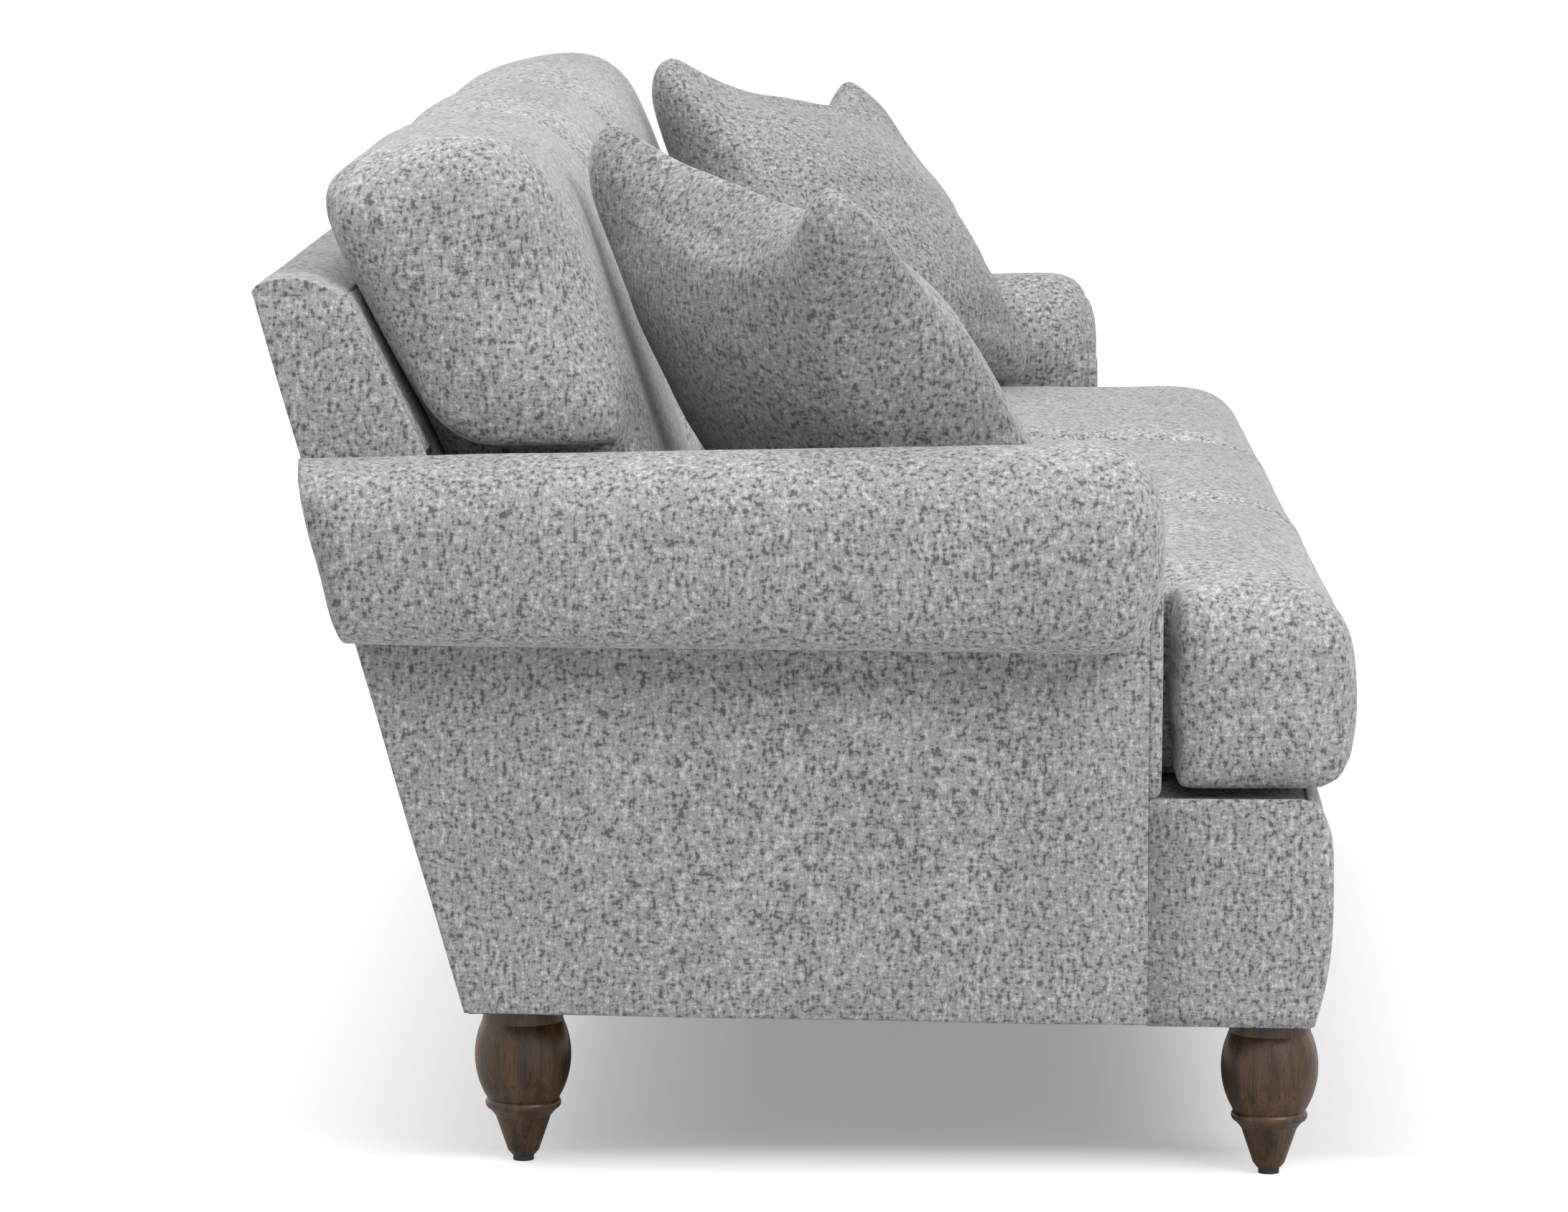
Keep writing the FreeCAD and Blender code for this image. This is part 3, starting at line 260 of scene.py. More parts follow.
def cut_along(bm, point, normal, clear_outer=False):
    """Cut a mesh along a plane and return the new edges and corners."""
    geom = bm.verts[:] + bm.edges[:] + bm.faces[:]
    return bmesh.ops.bisect_plane(bm, geom=geom, dist=1e-6, plane_co=point, plane_no=normal,
                                  clear_outer=clear_outer)["geom_cut"]


def slices(bm, axis, low, high, step):
    """Divide a mesh with even cuts, so that its large faces can bend."""
    normal = Vector([float(index == axis) for index in range(3)])
    count = max(1, round((high - low) / step))
    for index in range(1, count):
        cut_along(bm, normal * (low + (high - low) * index / count), normal)


def sew(bm, point, normal, sizes):
    """A sewn seam: a narrow valley where a plane crosses the mesh."""
    point, normal = Vector(point), Vector(normal).normalized()
    for offset in (-0.5, 0.5):
        cut_along(bm, point + normal * sizes.seam_width * offset, normal)
    valley = [item for item in cut_along(bm, point, normal)
              if isinstance(item, bmesh.types.BMVert)]
    bm.normal_update()
    for vert in valley:
        vert.co -= vert.normal * sizes.seam_depth


def ease(bm, height, size, shift=0.0):
    """Let a surface stand a little unevenly, as padding laid by hand does."""
    bm.normal_update()
    for vert in bm.verts:
        vert.co += vert.normal * height * noise.noise(vert.co / size + Vector((shift, 0, shift)))


def crown(bm, axis, sign, height, low, high):
    """Swell the face that looks along an axis, most at its middle."""
    others = [index for index in range(3) if index != axis]
    bm.normal_update()
    for vert in bm.verts:
        if vert.normal[axis] * sign > 0.5:
            share = 1.0
            for index in others:
                place = (vert.co[index] - low[index]) / (high[index] - low[index])
                share *= max(0.0, 1 - (place * 2 - 1) ** 2)
            vert.co[axis] += sign * height * share


def smooth_share(value, low, high):
    """How far a value has come from low to high, 0 to 1, easing at both."""
    share = min(max((value - low) / (high - low), 0), 1)
    return share * share * (3 - 2 * share)


def flip(bm):
    """Turn a right-hand mesh into the left-hand one."""
    bmesh.ops.scale(bm, vec=(-1, 1, 1), verts=bm.verts)
    bmesh.ops.reverse_faces(bm, faces=bm.faces)


def add_mesh(target, source):
    """Add one mesh to another."""
    mesh = bpy.data.meshes.new("part")
    source.to_mesh(mesh)
    source.free()
    target.from_mesh(mesh)
    bpy.data.meshes.remove(mesh)


def made_object(name, bm):
    """An object at the origin that takes a mesh over."""
    mesh = bpy.data.meshes.new(name)
    bm.to_mesh(mesh)
    bm.free()
    made = bpy.data.objects.new(name, mesh)
    bpy.context.scene.collection.objects.link(made)
    return made


def discard(holder):
    """Remove an object and its mesh."""
    mesh = holder.data
    bpy.data.objects.remove(holder)
    bpy.data.meshes.remove(mesh)


def keep(name, bm, finish, stands_for, body=FRAME_BODY):
    """Make a mesh a piece of the sofa that moves with a body and stands for CAD nodes."""
    piece = made_object(name, bm)
    piece.data.shade_smooth()
    piece.data.materials.append(finish)
    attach(piece, body)
    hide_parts(*stands_for)
    return piece


def keep_on_side(name, bm, side, node):
    """Keep a cover of one side of the sofa; the left one is the right-hand mesh, flipped."""
    if side == "left":
        flip(bm)
    keep(f"{name}_{side}", bm, tweed(), stands_for=(f"{node}_{side}",))


def finish_nodes(names, finish):
    """Give CAD nodes that stay as they are a finish."""
    for name in names:
        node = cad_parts[name]
        if not node.data.materials:
            node.data.materials.append(finish)
        for holder in node.material_slots:
            holder.material = finish


# ---------------------------------------------------------------- finishes
class Finish:
    """A node material while it is put together."""

    def __init__(self, name, **shader):
        self.material = bpy.data.materials.new(name)
        self.material.use_nodes = True
        self.tree = self.material.node_tree
        self.shader = self.tree.nodes["Principled BSDF"]
        for socket, value in shader.items():
            self.shader.inputs[socket.replace("_", " ")].default_value = value
        self.coords = self.add("ShaderNodeTexCoord").outputs["Object"]

    def add(self, kind, settings=(), **inputs):
        """A node with its settings, and its inputs fed by name."""
        node = self.tree.nodes.new(kind)
        for setting, value in dict(settings).items():
            setattr(node, setting, value)
        for socket, value in inputs.items():
            self.feed(value, node.inputs[socket.replace("_", " ")])
        return node

    def feed(self, value, socket):
        """Link a socket to another one, or set its value."""
        if isinstance(value, bpy.types.NodeSocket):
            self.tree.links.new(value, socket)
        else:
            socket.default_value = value

    def noise(self, size, stretch=(1, 1, 1), detail=1.0, rough=0.5):
        """Cloudy noise whose lumps are about as large as size, longer where stretch is over 1."""
        scale = [1 / factor for factor in stretch]
        mapping = self.add("ShaderNodeMapping", Vector=self.coords, Scale=scale)
        node = self.add("ShaderNodeTexNoise", Vector=mapping.outputs["Vector"],
                        Scale=0.75 / size, Detail=detail, Roughness=rough)
        return node.outputs["Fac"]

    def combine(self, first, second, operation="ADD"):
        """Two numbers added, or put together by another operation."""
        node = self.tree.nodes.new("ShaderNodeMath")
        node.operation = operation
        self.feed(first, node.inputs[0])
        self.feed(second, node.inputs[1])
        return node.outputs[0]

    def ramp(self, value, stops):
        """Colours from stops of (place, colour) along a value."""
        node = self.add("ShaderNodeValToRGB", Fac=value)
        elements = node.color_ramp.elements
        while len(elements) < len(stops):
            elements.new(0.5)
        for element, (place, colour) in zip(elements, stops):
            element.position = place
            element.color = (*colour, 1)
        return node.outputs["Color"]

    def product(self, first, second):
        """Two colours multiplied."""
        node = self.tree.nodes.new("ShaderNodeMix")
        node.data_type = "RGBA"
        node.blend_type = "MULTIPLY"
        for index, value in ((0, 1.0), (6, first), (7, second)):
            self.feed(value, node.inputs[index])
        return node.outputs[2]

    def colour(self, value):
        """Give the surface its colour."""
        self.feed(value, self.shader.inputs["Base Color"])

    def relief(self, height, distance, strength):
        """Raise the surface by a height map, out to a distance."""
        bump = self.add("ShaderNodeBump", Height=height, Distance=distance, Strength=strength)
        self.tree.links.new(bump.outputs["Normal"], self.shader.inputs["Normal"])


def grey(level):
    """A colour without hue."""
    return (level, level, level)


def tweed(name="heathered_tweed", depth=1.0):
    """Heathered tweed: light, middle and dark yarn in short flecks along warp and weft."""
    if name in bpy.data.materials:
        return bpy.data.materials[name]
    wanted = bpy.context.scene.sofa_tweed
    cloth = Finish(name, Roughness=0.95, Sheen_Weight=0.4, Sheen_Roughness=0.5,
                   Specular_IOR_Level=0.12)
    warp = cloth.noise(wanted.fleck, (0.95, 0.95, 2.0), 1.5, 0.55)
    weft = cloth.noise(wanted.fleck, (1.9, 1.9, 0.8), 1.5, 0.55)
    flecks = cloth.combine(cloth.combine(warp, 0.56, "MULTIPLY"),
                           cloth.combine(weft, 0.44, "MULTIPLY"))
    # depth darkens every yarn; the pillows' darker copy made this way is painted shade.
    dark, middle, light = [tuple(level * depth for level in yarn)
                           for yarn in (wanted.dark, wanted.middle, wanted.light)]
    base = cloth.ramp(flecks, ((0.385, dark), (0.475, middle), (0.53, middle), (0.63, light)))
    fuzz = cloth.noise(0.0011, detail=1.0)
    fuzzy = cloth.ramp(fuzz, ((0.3, grey(0.76)), (0.7, grey(1.2))))
    clouds = cloth.ramp(cloth.noise(0.09, detail=2.0), ((0.3, grey(0.93)), (0.7, grey(1.06))))
    cloth.colour(cloth.product(cloth.product(base, fuzzy), clouds))
    nubs = cloth.add("ShaderNodeTexVoronoi", Vector=cloth.coords, Scale=420.0)
    knots = cloth.combine(nubs.outputs["Distance"], -0.35, "MULTIPLY")
    cloth.relief(cloth.combine(cloth.combine(flecks, 1.2, "MULTIPLY"), knots), wanted.nub, 0.75)
    return cloth.material


def stained_wood():
    """Dark stained hardwood with long grain and a satin lacquer."""
    wanted = bpy.context.scene.sofa_wood
    wood = Finish("stained_wood", Roughness=0.36, Coat_Weight=0.25, Coat_Roughness=0.28,
                  Specular_IOR_Level=0.45)
    figure = wood.noise(0.009, (1, 1, 9), 3.0, 0.6)
    pores = wood.noise(0.0012, (1, 1, 14), 1.0)
    streaks = wood.ramp(figure, ((0.32, tuple(wanted.grain)), (0.62, tuple(wanted.stain))))
    shade = wood.ramp(pores, ((0.35, grey(0.55)), (0.5, grey(1.0))))
    wood.colour(wood.product(streaks, shade))
    wood.relief(pores, 0.0002, 0.4)
    return wood.material


def plain_wood():
    """Unfinished timber of the hidden frame."""
    wood = Finish("frame_timber", Roughness=0.8)
    figure = wood.noise(0.012, (1, 9, 9), 3.0, 0.6)
    wood.colour(wood.ramp(figure, ((0.3, (0.42, 0.27, 0.14)), (0.65, (0.62, 0.45, 0.27)))))
    wood.relief(figure, 0.0004, 0.4)
    return wood.material


def black_wood():
    """Black painted wood of the middle leg, its grain just showing."""
    wood = Finish("black_wood", Roughness=0.5)
    figure = wood.noise(0.004, (1, 1, 10), 2.0)
    wood.colour(wood.ramp(figure, ((0.3, grey(0.012)), (0.7, grey(0.03)))))
    wood.relief(figure, 0.0003, 0.5)
    return wood.material


def woven(name, clouds, deep, high, thread=0.0016):
    """Plain weave: fine threads both ways, and clouds of lighter and darker cloth."""
    cloth = Finish(name, Roughness=0.9, Specular_IOR_Level=0.15)
    threads = [cloth.add("ShaderNodeTexWave", {"bands_direction": way}, Vector=cloth.coords,
                         Scale=0.32 / thread, Distortion=0.6, Detail=1.0).outputs["Fac"]
               for way in "XY"]
    weave = cloth.combine(*threads, "MULTIPLY")
    uneven = cloth.ramp(cloth.noise(clouds, detail=2.0), ((0.3, grey(0.8)), (0.7, grey(1.15))))
    cloth.colour(cloth.product(cloth.ramp(weave, ((0.0, deep), (0.8, high))), uneven))
    cloth.relief(weave, 0.0005, 0.8)
    return cloth.material


def steel(name, level, roughness, stretch):
    """Steel with fine drawing marks."""
    metal = Finish(name, Metallic=1.0, Roughness=roughness)
    marks = metal.noise(0.002, stretch, 2.0)
    metal.colour(metal.ramp(marks, ((0.3, grey(level * 0.7)), (0.7, grey(level)))))
    metal.relief(marks, 0.0001, 0.4)
    return metal.material


def moulded_plastic():
    """Dark moulded plastic and felt under the feet."""
    plastic = Finish("glide_plastic", Roughness=0.6)
    grains = plastic.noise(0.0008, detail=2.0)
    plastic.colour(plastic.ramp(grains, ((0.3, grey(0.02)), (0.7, grey(0.05)))))
    plastic.relief(grains, 0.0002, 0.5)
    return plastic.material


# ---------------------------------------------------------------- base and outside of the arms
def hem_at(depth):
    """Lower edge of the covers, which rises a little to the rear."""
    share = (depth - BASE_EDGE) / (rear_at(HEM_REAR) - BASE_EDGE)
    return HEM_FRONT + (HEM_REAR - HEM_FRONT) * share


# The ledge of the base in front of the arm: width and slope of its raised lip, where it starts
# and stops to fall, and how deep below it the padding still follows.
LEDGE_LIP = 0.013
LIP_SLOPE = 0.009
LEDGE_FALL = (ARM_INNER - 0.035, ARM_INNER + 0.015)
LEDGE_DEPTH = 0.05
BULGE_BELOW, BULGE_ABOVE = 2.4, 4.3


class SOFA_OT_front_border(bpy.types.Operator):
    """Padded front of the base, with its returns along both sides and under the cushions"""

    bl_idname = "sofa.front_border"
    bl_label = "Front border"

    def execute(self, context):
        sizes = context.scene.sofa_covers
        outline = [(BASE_EDGE, hem_at(BASE_EDGE)), (STEM_SEAM, hem_at(STEM_SEAM)),
                   (STEM_SEAM, DECK_TOP), (BASE_EDGE, DECK_TOP)]
        bm = side_block(outline, -ARM_OUTER, ARM_OUTER)

        def front_corner(edge):
            middle = (edge.verts[0].co + edge.verts[1].co) / 2
            at_front = middle.y < BASE_EDGE + CLEARANCE
            return at_front and middle.z > HEM_FRONT + CLEARANCE

        def side_top(edge):
            ends = [vert.co for vert in edge.verts]
            return all(abs(co.z - DECK_TOP) < CLEARANCE and abs(co.x) > ARM_OUTER - CLEARANCE
                       for co in ends)

        round_edges(bm, sizes.border_rounding, front_corner, 5)
        round_edges(bm, sizes.edge_rounding, side_top, 3)
        slices(bm, 0, -ARM_OUTER, ARM_OUTER, 0.06)
        lip = ARM_OUTER - LEDGE_LIP
        for place in (-lip, lip):
            cut_along(bm, (place, 0, 0), (1, 0, 0))
        slices(bm, 1, BASE_EDGE, STEM_SEAM, 0.05)
        slices(bm, 2, HEM_FRONT, DECK_TOP, 0.013)
        span = DECK_TOP - HEM_FRONT
        for vert in bm.verts:
            share = min(max((vert.co.z - HEM_FRONT) / span, 0), 1)
            power = BULGE_BELOW if share < 0.5 else BULGE_ABOVE
            depth = min(max((STEM_SEAM - vert.co.y) / (STEM_SEAM - BASE_EDGE), 0), 1)
            vert.co.y -= sizes.border_crown * (1 - abs(share * 2 - 1) ** power) * depth ** 3
            edge = smooth_share(abs(vert.co.x), *LEDGE_FALL)
            high = smooth_share(vert.co.z, DECK_TOP - LEDGE_DEPTH, DECK_TOP)
            sunk = smooth_share(abs(vert.co.x), lip + LIP_SLOPE, lip) * edge
            vert.co.z -= (sizes.border_fall * edge + sizes.border_sink * sunk) * high
        ease(bm, sizes.unevenness, 0.11)
        away = [face for face in bm.faces
                if face.normal.z < -0.9 or (face.normal.y > 0.9 and face.calc_center_median().y
                                            > STEM_SEAM - COVER)]
        bmesh.ops.delete(bm, geom=away, context="FACES")
        bmesh.ops.solidify(bm, geom=bm.faces[:], thickness=COVER)
        keep("front_border_cover", bm, tweed(), stands_for=("front_border",))
        return {"FINISHED"}


SIDE_CROWN = 0.003


class SOFA_OT_outside_arms(bpy.types.Operator):
    """Flat outside panels of the arms, from the front seam to the rear"""

    bl_idname = "sofa.outside_arms"
    bl_label = "Outside arms"

    def execute(self, context):
        sizes = context.scene.sofa_covers
        for side in SIDES:
            foot = rear_at(HEM_REAR)
            outline = [(STEM_SEAM + CLEARANCE, hem_at(STEM_SEAM)), (foot, HEM_REAR),
                       (rear_at(ROLL_AXIS_Z), ROLL_AXIS_Z), (STEM_SEAM + CLEARANCE, ROLL_AXIS_Z)]
            bm = side_block(outline, ARM_OUTER - COVER, ARM_OUTER)
            outer, seam = ARM_OUTER - CLEARANCE, STEM_SEAM + COVER
            round_edges(bm, sizes.edge_rounding,
                        lambda edge: all(vert.co.x > outer for vert in edge.verts)
                        and any(vert.co.y > seam for vert in edge.verts), 3)
            slices(bm, 1, STEM_SEAM, rear_at(ROLL_AXIS_Z), 0.045)
            slices(bm, 2, HEM_FRONT, ROLL_AXIS_Z, 0.045)
            crown(bm, 0, 1, SIDE_CROWN, (0, STEM_SEAM, HEM_FRONT), (0, foot, ROLL_AXIS_Z))
            ease(bm, sizes.unevenness, 0.13, 3.0)
            keep_on_side("outside_arm", bm, side, "outside_arm_cover")
        return {"FINISHED"}


# ---------------------------------------------------------------- arms
ROLL_OUTLINE = ((0.0615, -0.3000), (0.0640, -0.3015), (0.0680, -0.3005), (0.0760, -0.2950),
                (0.0830, -0.2870), (0.0880, -0.2750), (0.0900, -0.2600), (0.0903, -0.2450))
FACING_OUTLINE = ((0.0, -0.3150), (0.0170, -0.3147), (0.0350, -0.3130), (0.0500, -0.3090),
                  (0.0570, -0.3060), (0.0605, -0.3030), (0.0612, -0.2990), (0.0590, -0.2940))
ROLL_REAR_RADIUS = 0.0765
ROLL_RINGS = 22
END_RINGS = 7
FACING_ROUNDING = 0.0075
FACING_CROWN = 0.002
INSIDE_ARM_PADDING = 0.026


def spun(outline, steps=96):
    """Turn an outline of (radius, depth) points about the axis of the arm roll."""
    bm = bmesh.new()
    verts = [bm.verts.new((ROLL_AXIS_X, depth, ROLL_AXIS_Z + radius)) for radius, depth in outline]
    edges = [bm.edges.new(pair) for pair in zip(verts, verts[1:])]
    bmesh.ops.spin(bm, geom=verts + edges, cent=(ROLL_AXIS_X, 0, ROLL_AXIS_Z), axis=(0, 1, 0),
                   angle=math.tau, steps=steps, use_merge=True)
    bmesh.ops.remove_doubles(bm, verts=bm.verts, dist=1e-5)
    bmesh.ops.recalc_face_normals(bm, faces=bm.faces)
    return bm


def fill_out(bm):
    """Let the padding of a round arm hang: square outside its foot, and lowest to the rear."""
    for vert in bm.verts:
        aside, up = vert.co.x - ROLL_AXIS_X, vert.co.z - ROLL_AXIS_Z
        angle = math.atan2(up, aside)
        outer, lower = max(math.cos(angle), 0), max(-math.sin(angle), 0)
        full, drawn_in = 1 + 0.07 * outer ** 0.5 * math.sin(2 * angle) ** 2, 1.0
        if outer and lower:
            full = (outer ** 5 + lower ** 5) ** -0.2
            drawn_in = 1 - 0.13 * (lower * full) ** 2
        hang = (0.03 + 0.11 * smooth_share(vert.co.y, -0.24, 0.4)) * lower ** 2
        vert.co.x = ROLL_AXIS_X + aside * full * drawn_in
        vert.co.z = ROLL_AXIS_Z + up * (full + hang)


def dome_end(bm, end, centre, outward, height):
    """Divide a flat end into rings and dome it."""
    radius = min((vert.co - Vector(centre)).length for vert in end[0].verts)
    step = radius / (END_RINGS + 1)
    for _ in range(END_RINGS):
        bmesh.ops.inset_region(bm, faces=end, thickness=step, use_even_offset=True)
    bmesh.ops.poke(bm, faces=end)
    for vert in bm.verts:
        away = vert.co - Vector(centre)
        if abs(away.dot(outward)) < CLEARANCE:
            share = min(away.length / radius, 1)
            vert.co += outward * height * (1 - share ** 2) ** 0.5


class SOFA_OT_arm_rolls(bpy.types.Operator):
    """Tapered rolls along the tops of the arms"""

    bl_idname = "sofa.arm_rolls"
    bl_label = "Arm rolls"

    def execute(self, context):
        sizes = context.scene.sofa_covers
        rear = rear_at(ROLL_AXIS_Z)
        start = ROLL_OUTLINE[-1]
        length = rear + ROLL_AXIS_Z * OUTER_SLOPE - start[1]
        slope = (start[0] - ROLL_REAR_RADIUS) / (rear - start[1])
        taper = [(start[0] - slope * length * ring / ROLL_RINGS,
                  start[1] + length * ring / ROLL_RINGS) for ring in range(1, ROLL_RINGS + 1)]
        for side in SIDES:
            bm = spun(ROLL_OUTLINE + tuple(taper))
            slope_out = Vector((0, 1, -OUTER_SLOPE))
            cut_along(bm, (0, rear, ROLL_AXIS_Z), slope_out, clear_outer=True)
            rim = [edge for edge in bm.edges if edge.is_boundary
                   and edge.verts[0].co.y > 0]
            end = bmesh.ops.edgeloop_fill(bm, edges=rim)["faces"]
            bmesh.ops.recalc_face_normals(bm, faces=bm.faces)
            dome_end(bm, end, (ROLL_AXIS_X, rear, ROLL_AXIS_Z), slope_out.normalized(),
                     sizes.roll_end)
            fill_out(bm)
            ease(bm, sizes.unevenness, 0.1, 7.0 if side == "right" else 11.0)
            keep_on_side("arm_roll", bm, side, "arm_roll_cover")
        return {"FINISHED"}


class SOFA_OT_arm_facings(bpy.types.Operator):
    """Padded fronts of the arms: a domed disc in the roll on an upright strip"""

    bl_idname = "sofa.arm_facings"
    bl_label = "Arm facings"

    def execute(self, context):
        sizes = context.scene.sofa_covers
        for side in SIDES:
            bm = spun(FACING_OUTLINE, 72)
            fill_out(bm)
            strip = bmesh.new()
            foot = DECK_TOP - sizes.border_fall * 0.8 + CLEARANCE
            add_block(strip, (ARM_INNER, ARM_FRONT, foot), (ARM_OUTER, STEM_SEAM, ROLL_AXIS_Z))
            front = ARM_FRONT + CLEARANCE
            round_edges(strip, FACING_ROUNDING,
                        lambda edge: all(vert.co.y < front for vert in edge.verts))
            slices(strip, 2, DECK_TOP, ROLL_AXIS_Z, 0.02)
            slices(strip, 0, ARM_INNER, ARM_OUTER, 0.015)
            crown(strip, 1, -1, FACING_CROWN, (ARM_INNER, 0, DECK_TOP),
                  (ARM_OUTER, 0, ROLL_AXIS_Z))
            add_mesh(bm, strip)
            ease(bm, sizes.unevenness * 0.7, 0.05, 5.0)
            keep_on_side("arm_front", bm, side, "arm_facing")
        return {"FINISHED"}


class SOFA_OT_inside_arms(bpy.types.Operator):
    """Padded inside panels of the arms, between seat and roll"""

    bl_idname = "sofa.inside_arms"
    bl_label = "Inside arms"

    def execute(self, context):
        sizes = context.scene.sofa_covers
        for side in SIDES:
            outline = [(STEM_SEAM + CLEARANCE, DECK_BOTTOM), (inner_at(DECK_BOTTOM), DECK_BOTTOM),
                       (inner_at(ROLL_AXIS_Z), ROLL_AXIS_Z), (STEM_SEAM + CLEARANCE, ROLL_AXIS_Z)]
            bm = side_block(outline, ARM_INNER, ARM_INNER + INSIDE_ARM_PADDING)
            slices(bm, 1, STEM_SEAM, inner_at(ROLL_AXIS_Z), 0.04)
            slices(bm, 2, DECK_BOTTOM, ROLL_AXIS_Z, 0.03)
            ease(bm, sizes.unevenness, 0.09, 9.0)
            keep_on_side("inside_arm", bm, side, "inside_arm_pad")
        return {"FINISHED"}


# ---------------------------------------------------------------- back
CAP_OUTLINE = ((0.4058, 0.798), (0.4122, 0.7993), (0.4251, 0.8059), (0.4370, 0.8105),
               (0.4494, 0.8131), (0.4640, 0.8132), (0.4785, 0.8106), (0.4868, 0.8062),
               (0.4905, 0.8010), (0.4894, 0.798))
CAP_ROUNDING = 0.006
INSIDE_BACK_PADDING = 0.028
OUTSIDE_BACK_JOIN = 0.335


class SOFA_OT_back_covers(bpy.types.Operator):
    """Covers of the fixed back: inside, top, both ends and outside"""

    bl_idname = "sofa.back_covers"
    bl_label = "Back covers"

    def execute(self, context):
        sizes = context.scene.sofa_covers
        wide = ARM_OUTER
        bm = side_block(CAP_OUTLINE, -wide, wide)
        round_edges(bm, CAP_ROUNDING,
                    lambda edge: abs(edge.verts[0].co.x - edge.verts[1].co.x) < COVER)
        slices(bm, 0, -wide, wide, 0.05)
        ease(bm, sizes.unevenness, 0.12, 2.0)
        keep("back_top", bm, tweed(), stands_for=("back_top_cover",))

        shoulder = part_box("back_end_cover_right")[0].z
        narrow = ARM_INNER - CLEARANCE
        outline = [(-narrow, DECK_BOTTOM), (narrow, DECK_BOTTOM), (narrow, shoulder),
                   (FRAME_OUTER, shoulder), (FRAME_OUTER, CAP_BOTTOM), (-FRAME_OUTER, CAP_BOTTOM),
                   (-FRAME_OUTER, shoulder), (-narrow, shoulder)]
        bm = raked_plate(outline, INSIDE_BACK_PADDING, inner_at)
        slices(bm, 0, -FRAME_OUTER, FRAME_OUTER, 0.08)
        slices(bm, 2, DECK_BOTTOM, CAP_BOTTOM, 0.06)
        ease(bm, sizes.unevenness, 0.12, 4.0)
        keep("inside_back", bm, tweed(), stands_for=("inside_back_pad",))

        for side in SIDES:
            low = ROLL_AXIS_Z + 0.02
            top = CAP_BOTTOM + CLEARANCE
            outline = [(inner_at(low), low), (rear_at(low), low), (rear_at(top), top),
                       (inner_at(top), top)]
            bm = side_block(outline, ARM_OUTER - COVER, ARM_OUTER)
            outer = ARM_OUTER - CLEARANCE
            round_edges(bm, sizes.edge_rounding,
                        lambda edge: all(vert.co.x > outer for vert in edge.verts)
                        and any(vert.co.z < top - COVER for vert in edge.verts), 3)
            slices(bm, 1, inner_at(low), rear_at(top), 0.025)
            slices(bm, 2, low, top, 0.025)
            ease(bm, sizes.unevenness * 0.8, 0.08, 6.0)
            keep_on_side("back_end", bm, side, "back_end_cover")

        edge_x = ARM_OUTER - COVER
        outline = [(-edge_x, HEM_REAR), (edge_x, HEM_REAR), (edge_x, CAP_BOTTOM - CLEARANCE),
                   (-edge_x, CAP_BOTTOM - CLEARANCE)]
        bm = raked_plate(outline, -COVER, rear_at)
        bm.normal_update()
        round_edges(bm, sizes.edge_rounding * 0.8,
                    lambda edge: all(abs(vert.co.y - rear_at(vert.co.z)) < CLEARANCE
                                     for vert in edge.verts), 3)
        slices(bm, 0, -edge_x, edge_x, 0.08)
        slices(bm, 2, HEM_REAR, CAP_BOTTOM, 0.06)
        for join in (-OUTSIDE_BACK_JOIN, OUTSIDE_BACK_JOIN):
            sew(bm, (join, 0, 0), (1, 0, 0), sizes)
        ease(bm, sizes.unevenness, 0.14, 8.0)
        keep("outside_back", bm, tweed(), stands_for=("outside_back_cover",))
        return {"FINISHED"}


# ---------------------------------------------------------------- deck and underside
DECK_ROUNDING = 0.006
DECK_HOLLOWS = 0.002
DECK_JOIN = 0.31
PLATE_WINDOW = 0.029
SUPPORT_WINDOW = 0.024
SHEET_SAG = 0.0012
SHEET_WALL = 0.0007


class SOFA_OT_seat_deck(bpy.types.Operator):
    """Cloth-covered deck under the seat cushions"""

    bl_idname = "sofa.seat_deck"
    bl_label = "Seat deck"

    def execute(self, context):
        sizes = context.scene.sofa_covers
        bm = bmesh.new()
        narrow = ARM_INNER - CLEARANCE
        add_block(bm, (-narrow, STEM_SEAM + CLEARANCE, DECK_BOTTOM),
                  (narrow, inner_at(DECK_BOTTOM) - CLEARANCE, DECK_TOP))
        top = DECK_TOP - CLEARANCE
        round_edges(bm, DECK_ROUNDING,
                    lambda edge: all(vert.co.z > top for vert in edge.verts), 3)
        slices(bm, 0, -narrow, narrow, 0.06)
        slices(bm, 1, STEM_SEAM, inner_at(DECK_BOTTOM), 0.05)
        for vert in bm.verts:
            if vert.co.z > top:
                vert.co.z -= DECK_HOLLOWS * (0.5 + 0.5 * noise.noise(vert.co / 0.07))
        for join in (-DECK_JOIN, DECK_JOIN):
            sew(bm, (join, 0, 0), (1, 0, 0), sizes)
        lining = woven("deck_lining", 0.03, (0.2, 0.2, 0.2), (0.42, 0.42, 0.41))
        keep("seat_deck", bm, lining,
             stands_for=("seat_deck_pad", "seat_deck_cloth"))
        return {"FINISHED"}


